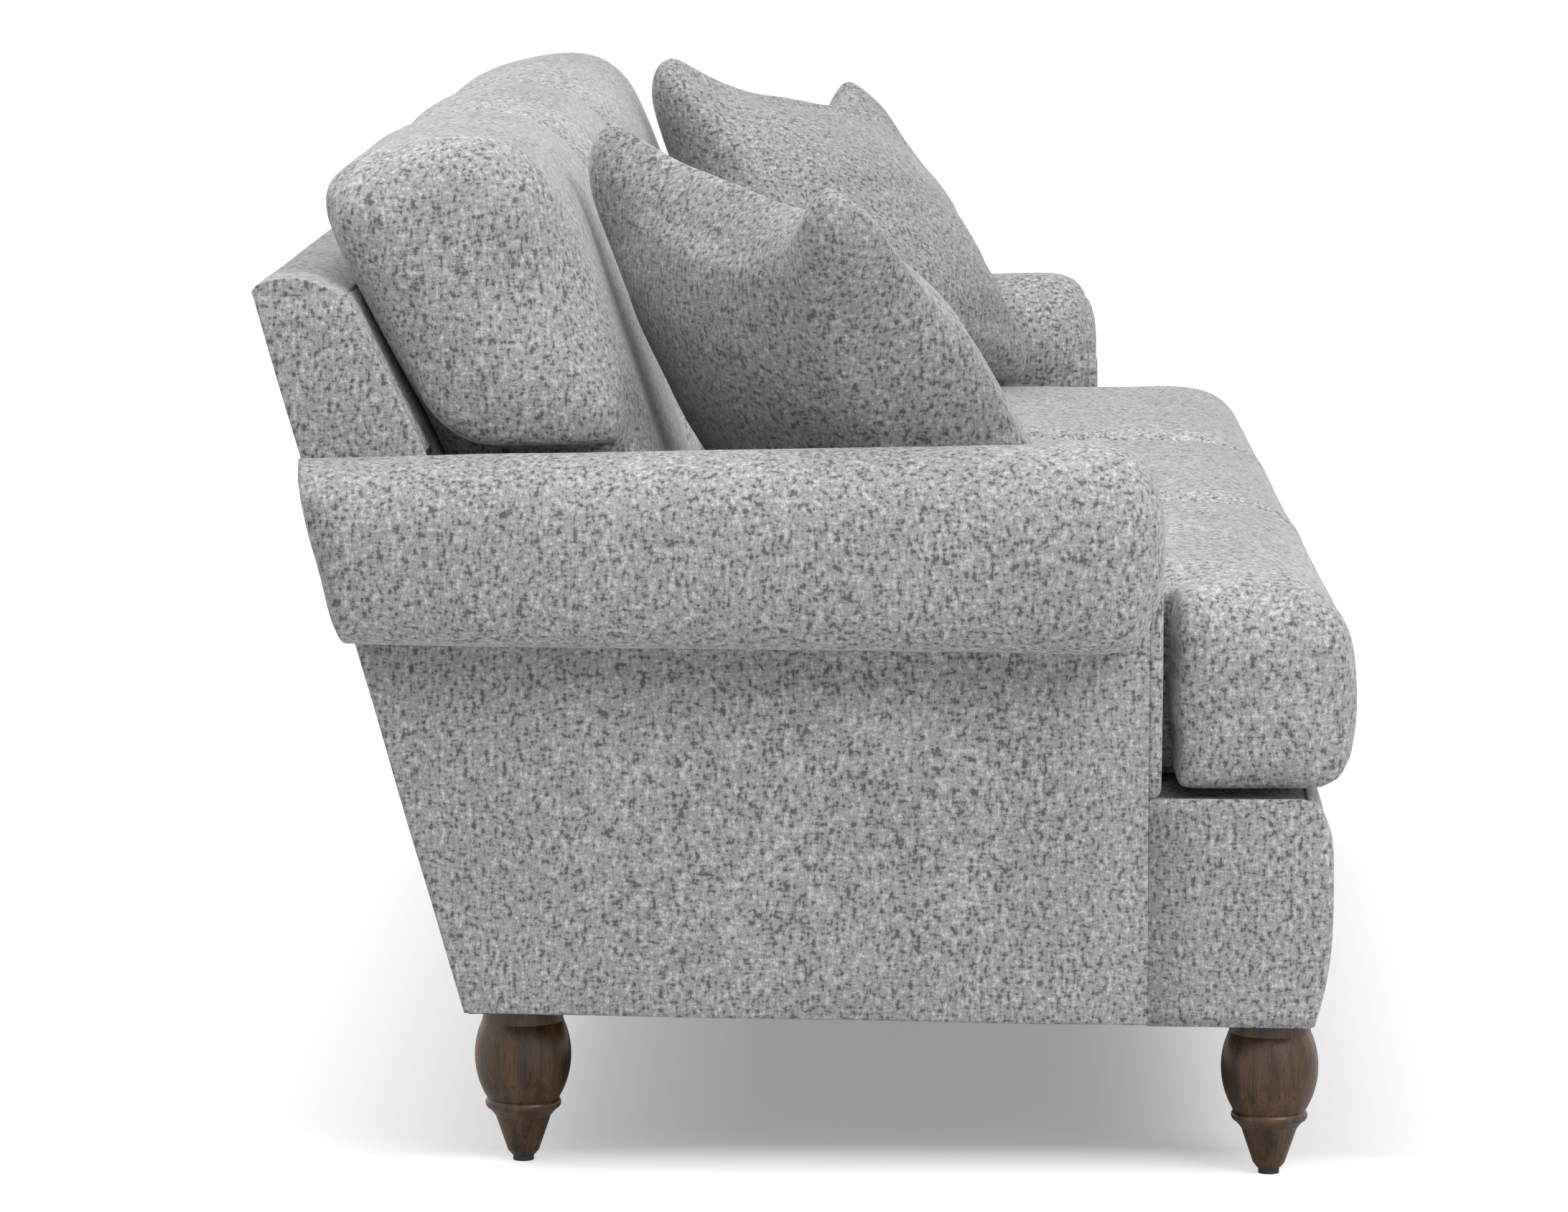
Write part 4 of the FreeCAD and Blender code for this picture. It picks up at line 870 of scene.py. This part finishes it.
class SOFA_OT_underside(bpy.types.Operator):
    """Black cloth under the frame, open round each leg plate"""

    bl_idname = "sofa.underside"
    bl_label = "Underside"

    def execute(self, context):
        low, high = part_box("dust_cover")
        centres = [(1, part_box("leg_front_right")), (1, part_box("leg_rear_right")),
                   (0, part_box("centre_support_leg"))]
        bm = bmesh.new()
        bmesh.ops.create_grid(bm, x_segments=40, y_segments=16, size=0.5)
        size = high - low
        bmesh.ops.scale(bm, vec=(size.x, size.y, 1), verts=bm.verts)
        middle = (low + high) / 2
        bmesh.ops.translate(bm, vec=(middle.x, middle.y, high.z), verts=bm.verts)
        windows = []
        for paired, (leg_low, leg_high) in centres:
            centre = (leg_low + leg_high) / 2
            half = PLATE_WINDOW if paired else SUPPORT_WINDOW
            for sign in ((1, -1) if paired else (1,)):
                x = centre.x * sign
                windows.append((x - half, x + half, centre.y - half, centre.y + half))
        for x_low, x_high, y_low, y_high in windows:
            for place in (x_low, x_high):
                cut_along(bm, (place, 0, 0), (1, 0, 0))
            for place in (y_low, y_high):
                cut_along(bm, (0, place, 0), (0, 1, 0))
        opened = [face for face in bm.faces
                  if any(w[0] < face.calc_center_median().x < w[1]
                         and w[2] < face.calc_center_median().y < w[3] for w in windows)]
        bmesh.ops.delete(bm, geom=opened, context="FACES")
        for vert in bm.verts:
            vert.co.z -= SHEET_SAG + SHEET_SAG * noise.noise(vert.co / 0.08)
        bmesh.ops.reverse_faces(bm, faces=bm.faces)
        bmesh.ops.solidify(bm, geom=bm.faces[:], thickness=-SHEET_WALL)
        black = woven("black_cambric", 0.02, grey(0.008), grey(0.035), thread=0.0012)
        piece = keep("dust_sheet", bm, black, stands_for=("dust_cover",))
        return {"FINISHED"}


class SOFA_OT_frame_finishes(bpy.types.Operator):
    """Finishes of the CAD nodes that stay: turned legs, timber, springs and webbing"""

    bl_idname = "sofa.frame_finishes"
    bl_label = "Legs and frame"

    def execute(self, context):
        names = sorted(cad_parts)
        legs = [name for name in names if name.startswith(("leg_front", "leg_rear"))]
        finish_nodes(legs, stained_wood())
        finish_nodes(["centre_support_leg"], black_wood())
        finish_nodes(["foot_glides"], moulded_plastic())
        finish_nodes(["leg_plates", "leg_bolts"], steel("plated_steel", 0.62, 0.3, (1, 6, 1)))
        finish_nodes(["seat_springs", "spring_clips"], steel("spring_steel", 0.4, 0.42, (6, 1, 1)))
        finish_nodes(["back_webbing"], woven("elastic_webbing", 0.01, (0.1, 0.08, 0.06),
                                             (0.32, 0.27, 0.2), thread=0.002))
        timber = [name for name in names
                  if name.startswith(("seat_rail", "cross_rail", "corner_block", "back_post",
                                      "back_rib", "back_top_rail", "back_lower", "arm_post",
                                      "arm_top_rail", "arm_roll_core"))]
        finish_nodes(timber, plain_wood())
        return {"FINISHED"}


# ---------------------------------------------------------------- loose cushions
def cushion_box(low, high, corners, near, far):
    """A closed block across the sofa, with a rounded profile and a rounded rim at each end.

    corners: radii of the profile at front foot, front top, rear top and rear foot.
    near, far: radii of the two rims along front, rear, foot and top.
    """
    low, high = Vector(low), Vector(high)
    middle, half = (low + high) / 2, (high - low) / 2
    bm = bmesh.new()
    add_block(bm, low, high)
    bmesh.ops.subdivide_edges(bm, edges=bm.edges, cuts=35, use_grid_fill=True)
    for vert in bm.verts:
        away = [(vert.co[axis] - middle[axis]) / half[axis] for axis in (1, 2)]
        ring = max(abs(away[0]), abs(away[1]))
        if ring < 1e-6:
            continue
        toward = Vector((away[0] / ring, away[1] / ring))
        front, top = toward.x < 0, toward.y > 0
        radius = corners[(1 if top else 0) if front else (2 if top else 3)]
        edge = Vector((toward.x * half.y, toward.y * half.z))
        spread = Vector((abs(edge.x) - half.y, abs(edge.y) - half.z)) / radius + Vector((1, 1))
        if min(spread) > 0 and spread.length > 1:
            over = spread - spread.normalized()
            edge -= Vector((math.copysign(over.x, edge.x), math.copysign(over.y, edge.y))) * radius
        rims = near if vert.co.x < middle.x else far
        weights = abs(toward.x) ** 4, abs(toward.y) ** 4
        rim = (rims[0 if front else 1] * weights[0] + rims[3 if top else 2] * weights[1])
        rim /= sum(weights)
        aside = vert.co.x - middle.x
        share = (abs(aside) - half.x) / rim + 1
        depth = (1 - ring) * edge.length
        sunk = 1 - depth / rim
        if share > 0 and sunk > 0:
            length = max(1.0, math.hypot(share, sunk))
            share, sunk = share / length, sunk / length
            depth = rim * (1 - sunk)
            vert.co.x = middle.x + math.copysign(half.x - rim * (1 - share), aside)
        edge *= 1 - depth / edge.length
        vert.co.y, vert.co.z = middle.y + edge.x, middle.z + edge.y
    return bm


SMOOTHING = 3


def remeshed(bm, ear, voxel):
    """One closed skin with even faces round a block and the ear that overlaps it, if any."""
    holders = [made_object("block", part) for part in (bm, ear) if part]
    if ear:
        join = holders[0].modifiers.new("Join", "BOOLEAN")
        join.operation = "UNION"
        join.solver = "MANIFOLD"
        join.object = holders[1]
    remesh = holders[0].modifiers.new("Skin", "REMESH")
    remesh.mode = "VOXEL"
    remesh.voxel_size = voxel
    skin = bmesh.new()
    skin.from_object(holders[0], bpy.context.evaluated_depsgraph_get())
    for holder in holders:
        discard(holder)
    for _ in range(SMOOTHING):
        bmesh.ops.smooth_vert(skin, verts=skin.verts, factor=0.5, use_axis_x=True,
                              use_axis_y=True, use_axis_z=True)
    return skin


def capped(value, limit):
    """A length that comes near a limit and never passes it."""
    return limit * math.tanh(value / limit)


def swollen(bm, sizes, limit):
    """Swell a closed skin with cloth under pressure, out to a limit and in only a little."""
    bm.normal_update()
    scene = bpy.context.scene
    cloth = made_object("cloth", bm.copy())
    modifier = cloth.modifiers.new("Swell", "CLOTH")
    settings = modifier.settings
    settings.quality = 4
    settings.mass = 0.3
    settings.bending_stiffness = 0.5
    settings.use_pressure = True
    settings.uniform_pressure_force = sizes.pressure
    settings.effector_weights.gravity = 0
    modifier.collision_settings.use_collision = False
    modifier.point_cache.frame_end = sizes.swell_frames
    for number in range(1, sizes.swell_frames + 1):
        scene.frame_set(number)
    evaluated = cloth.evaluated_get(bpy.context.evaluated_depsgraph_get())
    result = evaluated.to_mesh()
    for vert, moved in zip(bm.verts, result.vertices):
        move = moved.co - vert.co
        out = move.dot(vert.normal)
        along = move - vert.normal * out
        vert.co += vert.normal * capped(out, limit if out > 0 else sizes.give)
        if along.length > 1e-9:
            vert.co += along.normalized() * capped(along.length, sizes.give)
    evaluated.to_mesh_clear()
    discard(cloth)
    scene.frame_set(1)
    return bm


def held_below(value, limit, softness=0.003):
    """A value that comes near a limit and never passes it, turning smoothly."""
    over = (value - limit) / softness
    if over > 30:
        return limit
    return limit - softness * math.log1p(math.exp(-over)) if over > -30 else value


def held_above(value, limit, softness=0.003):
    """A value that comes near a limit from above and never passes it."""
    return -held_below(-value, -limit, softness)


# Where the loose cushions lie, and how crisply they turn against what they touch.
HALF_SEAT = 0.305
SEAT_GAP = 0.0017
SEAT_FAR = ARM_INNER - 0.003
SEAT_EAR = 0.987
EAR_REAR = -0.327
BACK_EAR = 0.980
BACK_EAR_FOOT = 0.6605
EAR_DROOP = 0.0035
EAR_GAP = 0.014
BACK_FOOT = 0.109
BACK_SLOPE = math.tan(math.radians(19.0))
CROWN_FRONT = 0.958
CROWN_REAR = 0.904
CROWN_FALL = 0.028
BELLY = 0.002
BACK_DEPTH = 0.19
CRISP = 0.0015

# Radii of the cushion blocks. A profile has front foot, front top, rear top and rear foot; a rim
# has front, rear, foot and top. An ear starts inside the cushion, by its overlap.
SEAT_PROFILE = (0.026, 0.056, 0.03, 0.02)
SEAT_RIM = (0.022, 0.012, 0.010, 0.011)
SEAT_EAR_PROFILE = (0.03, 0.056, 0.012, 0.006)
SEAT_EAR_RIM = (0.03, 0.006, 0.004, 0.05)
SEAT_EAR_OVERLAP = 0.14
BACK_PROFILE = (0.03, 0.062, 0.04, 0.03)
BACK_RIM = (0.034, 0.034, 0.02, 0.06)
BACK_EAR_PROFILE = (0.024, 0.062, 0.045, 0.055)
BACK_EAR_RIM = (0.085, 0.012, 0.009, 0.06)
BACK_EAR_OVERLAP = 0.16


def across(end):
    """Reach of a cushion across the sofa: an end one, or the middle one."""
    if end:
        return HALF_SEAT + SEAT_GAP, SEAT_FAR
    return SEAT_GAP - HALF_SEAT, HALF_SEAT - SEAT_GAP


def seat_skin(end, sizes):
    """Skin of the middle seat cushion, or of an end one with its ear round the arm."""
    near, far = across(end)
    slack = sizes.slack
    front, rear = SEAT_FRONT + slack, inner_at(DECK_TOP) - slack
    foot, top = DECK_TOP + slack / 4, SEAT_TOP - slack
    bm = cushion_box((near + slack, front, foot), (far - slack, rear, top),
                     SEAT_PROFILE, SEAT_RIM, SEAT_RIM)
    ear = None
    if end:
        ear = cushion_box((far - SEAT_EAR_OVERLAP, front, foot), (SEAT_EAR, EAR_REAR, top),
                          SEAT_EAR_PROFILE, SEAT_RIM, SEAT_EAR_RIM)
    bm = swollen(remeshed(bm, ear, sizes.voxel), sizes, sizes.seat_swell)
    for vert in bm.verts:
        co = vert.co
        droop = EAR_DROOP * smooth_share(co.x, far, SEAT_EAR - 0.01)
        co.z = held_above(co.z, DECK_TOP + CLEARANCE, CRISP) - droop
        under_back = smooth_share(co.y, BACK_FOOT - 0.14, BACK_FOOT - 0.01)
        co.z = held_below(co.z, SEAT_TOP + sizes.seat_swell * (1 - under_back))
        co.x = held_above(co.x, near, CRISP)
        if co.y > EAR_REAR or not end:
            co.x = held_below(co.x, far, CRISP)
        if co.x > far:
            co.y = held_below(co.y, EAR_REAR, CRISP)
        co.y = held_below(co.y, inner_at(co.z) - 0.001)
    return bm


def back_skin(end, sizes):
    """Skin of the middle back cushion, or of an end one with its ear over the arm."""
    near, far = across(end)
    slack = sizes.slack
    foot = SEAT_TOP + 0.001
    top = CROWN_FRONT - slack * 2

    def block(x_low, x_high, low, profile, near_rim, far_rim):
        """A block that leans with the back, its top falling to the rear."""
        box = cushion_box((x_low, 0, low), (x_high, BACK_DEPTH, top), profile, near_rim, far_rim)
        for vert in box.verts:
            share = vert.co.y / BACK_DEPTH
            height = (vert.co.z - foot) / (top - foot)
            vert.co.z -= (CROWN_FRONT - CROWN_REAR) * share * max(height, 0) ** 2
            front = BACK_FOOT + slack + (vert.co.z - SEAT_TOP) * BACK_SLOPE
            clear = EAR_GAP * smooth_share(vert.co.x, far - 0.03, far)
            rear = inner_at(vert.co.z) - slack / 2 - clear
            vert.co.y = front + (rear - front) * share
        return box

    bm = block(near + slack, far - slack, foot, BACK_PROFILE, BACK_RIM, BACK_RIM)
    ear = None
    if end:
        ear = block(far - BACK_EAR_OVERLAP, BACK_EAR - slack / 2, BACK_EAR_FOOT,
                    BACK_EAR_PROFILE, BACK_RIM, BACK_EAR_RIM)
    bm = swollen(remeshed(bm, ear, sizes.voxel), sizes, sizes.back_swell)
    middle, reach = (near + far) / 2, (far - near) / 2
    for vert in bm.verts:
        co = vert.co
        aside = abs(co.x - middle) / reach
        high = smooth_share(co.z, CROWN_REAR - 0.16, CROWN_REAR)
        if not end or co.x < middle:
            co.z -= CROWN_FALL * min(aside, 1) ** 3.5 * high
        belly = smooth_share(co.z, foot, foot + 0.07) * (1 - smooth_share(co.z, 0.66, 0.86))
        facing = 1 - smooth_share(co.y, BACK_FOOT + 0.04, BACK_FOOT + 0.14)
        co.y -= BELLY * belly * facing * max(1 - aside ** 4, 0)
        under_ear = BACK_EAR_FOOT - co.z
        if co.x > far - CLEARANCE and under_ear > 0 and under_ear > co.x - far:
            co.x = far - CLEARANCE
        co.z = held_above(co.z, BACK_EAR_FOOT if co.x > far else foot, 0.002)
        co.x = held_above(co.x, near, CRISP)
        if not end:
            co.x = held_below(co.x, far, CRISP)
        co.y = held_below(co.y, inner_at(co.z) - 0.001)
    return bm


def smooth_cover(piece):
    """One level of subdivision, shown and rendered alike."""
    subdivision = piece.modifiers.new("Smooth", "SUBSURF")
    subdivision.levels = subdivision.render_levels = 1


def cushion_row(kind, filling, skin, unevenness, patch, shift):
    """Three loose cushions: the middle one, an end one and its flipped twin."""
    sizes = bpy.context.scene.sofa_cushions
    middle, end = skin(False, sizes), skin(True, sizes)
    row = (("centre", middle), ("right", end), ("left", end.copy()))
    for number, (place, bm) in enumerate(row):
        ease(bm, unevenness, patch, shift + 3.0 * number)
        if place == "left":
            flip(bm)
        body = f"{kind}_cushion_{place}"
        piece = keep(f"{kind}_cushion_cover_{place}", bm, tweed(), body=body,
                     stands_for=(body, f"{kind}_{filling}_{place}"))
        smooth_cover(piece)


class SOFA_OT_seat_cushions(bpy.types.Operator):
    """Three seat cushions, the end ones turning round the arms"""

    bl_idname = "sofa.seat_cushions"
    bl_label = "Seat cushions"

    def execute(self, context):
        cushion_row("seat", "foam", seat_skin, 0.0014, 0.1, 0.0)
        return {"FINISHED"}


class SOFA_OT_back_cushions(bpy.types.Operator):
    """Three back cushions, the end ones reaching over the arms"""

    bl_idname = "sofa.back_cushions"
    bl_label = "Back cushions"

    def execute(self, context):
        cushion_row("back", "filling", back_skin, 0.002, 0.12, 1.0)
        return {"FINISHED"}


# Shape of a throw pillow: how much less of it lies in front of its seam, how far its sides are
# drawn in, its corners blunted and its head sunk, how the filling settles and how full the edge is.
PILLOW_FRONT_SHARE = -0.09
PILLOW_EARS = 0.12
PILLOW_CORNERS = 0.1
PILLOW_SAG = 0.18
PILLOW_SETTLES = 0.22
PILLOW_EDGE = 0.09

# Where it leans: turned to the middle, leaning back, tilted in its own plane, raised to its
# settled place and kept over the seat.
PILLOW_TURN = math.radians(-29.0)
PILLOW_LEAN = math.radians(-36.8)
PILLOW_TILT = math.radians(7.9)
PILLOW_RAISED = 0.011
PILLOW_LOWEST = SEAT_TOP + 0.009


def pillow_skin(sizes):
    """A knife-edge pillow, flat and upright about the origin, facing the front."""
    half = sizes.pillow_size / 2
    bm = bmesh.new()
    for sign in (1, -1):
        deep = sizes.pillow_thickness * (0.5 + sign * PILLOW_FRONT_SHARE)
        sheet = bmesh.new()
        bmesh.ops.create_grid(sheet, x_segments=56, y_segments=56, size=1.0)
        for vert in sheet.verts:
            u, v = vert.co.x, vert.co.y
            across_u, along_v = max(1 - u * u, 0) ** 0.5, max(1 - v * v, 0)
            if sign > 0:
                rise = across_u * along_v ** (1.1 if v > 0 else 0.5) * (1 - PILLOW_SETTLES * v)
            else:
                rise = across_u * along_v ** 0.5 * (1 - PILLOW_SETTLES * v * 0.6)
            rise += PILLOW_EDGE * max((1 - u ** 12) * (1 - v ** 12), 0) ** 0.5
            blunt = 1 - PILLOW_CORNERS * (u * v) ** 4
            sag = PILLOW_SAG * (0.6 + 0.4 * u) if v > 0 else 0
            drawn_x = PILLOW_EARS * max(1 - (v / 0.84) ** 4, 0) ** 2 * abs(u)
            drawn_z = (PILLOW_EARS + sag) * max(1 - (u / 0.82) ** 6, 0) ** 2 * abs(v)
            x, z = half * u * blunt * (1 - drawn_x), half * v * blunt * (1 - drawn_z)
            vert.co = Vector((x, -sign * deep * rise, z))
        if sign < 0:
            bmesh.ops.reverse_faces(sheet, faces=sheet.faces)
        add_mesh(bm, sheet)
    bmesh.ops.remove_doubles(bm, verts=bm.verts, dist=1e-5)
    bmesh.ops.recalc_face_normals(bm, faces=bm.faces)
    return bm


class SOFA_OT_throw_pillows(bpy.types.Operator):
    """Two throw pillows leaning in the corners of arms and back"""

    bl_idname = "sofa.throw_pillows"
    bl_label = "Throw pillows"

    def execute(self, context):
        sizes = context.scene.sofa_cushions
        low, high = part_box("pillow_right")
        middle = (low + high) / 2
        turn = Matrix.Rotation(PILLOW_TURN, 4, "Z")
        lean = Matrix.Rotation(PILLOW_LEAN, 4, "X")
        tilt = Matrix.Rotation(PILLOW_TILT, 4, "Y")
        sunk = Matrix.Translation((0, sizes.pillow_sink, PILLOW_RAISED))
        placed = Matrix.Translation(middle) @ turn @ lean @ tilt @ sunk
        skin = swollen(pillow_skin(sizes), sizes, sizes.pillow_swell)
        for side in SIDES:
            bm = skin.copy()
            ease(bm, 0.003, 0.09, 2.0 if side == "right" else 9.0)
            bmesh.ops.transform(bm, matrix=placed, verts=bm.verts)
            for vert in bm.verts:
                vert.co.z = held_above(vert.co.z, PILLOW_LOWEST, 0.006)
            if side == "left":
                flip(bm)
            # The pillows wear a darker copy of the tweed: painted shade.
            piece = keep(f"pillow_cover_{side}", bm, tweed("pillow_tweed_painted_shade", sizes.pillow_painted_shade),
                         body=f"pillow_{side}", stands_for=(f"pillow_{side}",))
            smooth_cover(piece)
        skin.free()
        return {"FINISHED"}


# ---------------------------------------------------------------- stage
LAMP_TARGET = Vector((0, 0, 0.4))
CAMERA_PLACE = (-6.605, -0.0841, 1.235)
CAMERA_ACROSS = Vector((0.01874, -0.99982, 0.0))
CAMERA_UP = Vector((0.12596, 0.00236, 0.99203))

# Across and along the floor: middle of the shade painted under the sofa, where that painted
# shade begins to lighten and where the floor is as light as the backdrop.
PAINTED_FLOOR_SHADE = ((0.2, 1.02, 1.26), (-0.1, 0.16, 1.75))


def soft_lamp(name, place, size, power):
    """A rectangular lamp that faces the sofa."""
    lamp = bpy.data.lights.new(name, "AREA")
    lamp.shape = "RECTANGLE"
    lamp.size, lamp.size_y = size
    lamp.energy = power
    holder = bpy.data.objects.new(name, lamp)
    holder.location = place
    holder.rotation_euler = (LAMP_TARGET - Vector(place)).to_track_quat("-Z", "Y").to_euler()
    bpy.context.scene.collection.objects.link(holder)


class SOFA_OT_stage(bpy.types.Operator):
    """Pale floor with shade painted under the sofa, soft light and camera"""

    bl_idname = "sofa.stage"
    bl_label = "Studio"

    def execute(self, context):
        wanted = context.scene.sofa_studio
        bm = bmesh.new()
        bmesh.ops.create_grid(bm, x_segments=4, y_segments=4, size=14)
        floor = made_object("studio_floor", bm)
        paint = Finish("floor_with_painted_shade", Roughness=1.0, Specular_IOR_Level=0.0)
        paint.colour((wanted.floor, wanted.floor, wanted.floor, 1))
        # The floor emits light to the camera only, least under the sofa and up to white further
        # out: painted shade under the sofa.
        paint.shader.inputs["Emission Color"].default_value = (1, 1, 1, 1)
        seen = paint.add("ShaderNodeLightPath").outputs["Is Camera Ray"]
        places = paint.add("ShaderNodeSeparateXYZ", Vector=paint.coords).outputs
        fades = []
        for place, (middle, start, finish) in zip(places, PAINTED_FLOOR_SHADE):
            away = paint.combine(paint.combine(place, middle, "SUBTRACT"), 0, "ABSOLUTE")
            fade = paint.add("ShaderNodeMapRange", Value=away, From_Min=start, From_Max=finish,
                             To_Min=wanted.painted_floor_glow, To_Max=1.0)
            fades.append(fade.outputs["Result"])
        glow = paint.combine(*fades, "MAXIMUM")
        paint.feed(paint.combine(seen, glow, "MULTIPLY"), paint.shader.inputs["Emission Strength"])
        floor.data.materials.append(paint.material)

        world = bpy.data.worlds.new("studio_room")
        context.scene.world = world
        world.use_nodes = True
        tree = world.node_tree
        background = tree.nodes["Background"]
        background.inputs["Color"].default_value = (1, 1, 1, 1)
        heading = tree.nodes.new("ShaderNodeTexCoord")
        parts = tree.nodes.new("ShaderNodeSeparateXYZ")
        above = tree.nodes.new("ShaderNodeMapRange")
        above.inputs["To Max"].default_value = wanted.ambient
        tree.links.new(heading.outputs["Generated"], parts.inputs[0])
        tree.links.new(parts.outputs["Z"], above.inputs["Value"])
        path = tree.nodes.new("ShaderNodeLightPath")
        seen = tree.nodes.new("ShaderNodeMath")
        seen.operation = "MAXIMUM"
        tree.links.new(path.outputs["Is Camera Ray"], seen.inputs[0])
        tree.links.new(path.outputs["Is Glossy Ray"], seen.inputs[1])
        level = tree.nodes.new("ShaderNodeMapRange")
        tree.links.new(above.outputs["Result"], level.inputs["To Min"])
        level.inputs["To Max"].default_value = 1.0
        tree.links.new(seen.outputs[0], level.inputs["Value"])
        tree.links.new(level.outputs["Result"], background.inputs["Strength"])

        soft_lamp("overhead_lamp", (-0.3, 0.9, 3.4), (3.4, 2.0), wanted.overhead)
        soft_lamp("side_lamp", (-3.8, -2.6, 3.2), (2.4, 2.0), wanted.side)

        camera = bpy.data.cameras.new("studio_camera")
        camera.lens = wanted.lens
        camera.sensor_width = 36.0
        camera.sensor_fit = "HORIZONTAL"
        camera.clip_end = 60.0
        holder = bpy.data.objects.new("studio_camera", camera)
        backward = CAMERA_ACROSS.cross(CAMERA_UP)
        turned = Matrix((CAMERA_ACROSS, CAMERA_UP, backward)).transposed().to_4x4()
        holder.matrix_world = Matrix.Translation(CAMERA_PLACE) @ turned
        context.scene.collection.objects.link(holder)
        context.scene.camera = holder
        context.scene.view_settings.view_transform = "Standard"
        return {"FINISHED"}


# ---------------------------------------------------------------- panel and main
STEPS = (
    SOFA_OT_frame_finishes, SOFA_OT_underside, SOFA_OT_seat_deck, SOFA_OT_front_border,
    SOFA_OT_outside_arms, SOFA_OT_inside_arms, SOFA_OT_arm_rolls, SOFA_OT_arm_facings,
    SOFA_OT_back_covers, SOFA_OT_seat_cushions, SOFA_OT_back_cushions, SOFA_OT_throw_pillows,
    SOFA_OT_stage,
)
GROUPS = (
    ("sofa_covers", SofaCovers), ("sofa_cushions", SofaCushions), ("sofa_tweed", SofaTweed),
    ("sofa_wood", SofaWood), ("sofa_studio", SofaStudio),
)


class SOFA_PT_panel(bpy.types.Panel):
    """Sizes, colours and the steps that make the sofa"""

    bl_label = "Roll arm sofa"
    bl_idname = "SOFA_PT_panel"
    bl_space_type = "VIEW_3D"
    bl_region_type = "UI"
    bl_category = "Sofa"

    def draw(self, context):
        for attribute, group in GROUPS:
            box = self.layout.box()
            for name in group.__annotations__:
                box.prop(getattr(context.scene, attribute), name)
        for step in STEPS:
            self.layout.operator(step.bl_idname)


def register():
    """Add the sizes, the operators and the panel."""
    for attribute, group in GROUPS:
        bpy.utils.register_class(group)
        setattr(bpy.types.Scene, attribute, PointerProperty(type=group))
    for entry in (*STEPS, SOFA_PT_panel):
        bpy.utils.register_class(entry)


def unregister():
    """Take them away again."""
    for entry in (SOFA_PT_panel, *reversed(STEPS)):
        bpy.utils.unregister_class(entry)
    for attribute, group in reversed(GROUPS):
        delattr(bpy.types.Scene, attribute)
        bpy.utils.unregister_class(group)


def main():
    """Make the sofa and its stage."""
    register()
    for step in STEPS:
        area, name = step.bl_idname.split(".")
        getattr(getattr(bpy.ops, area), name)()
    bpy.context.view_layer.update()


if __name__ == "__main__":
    main()
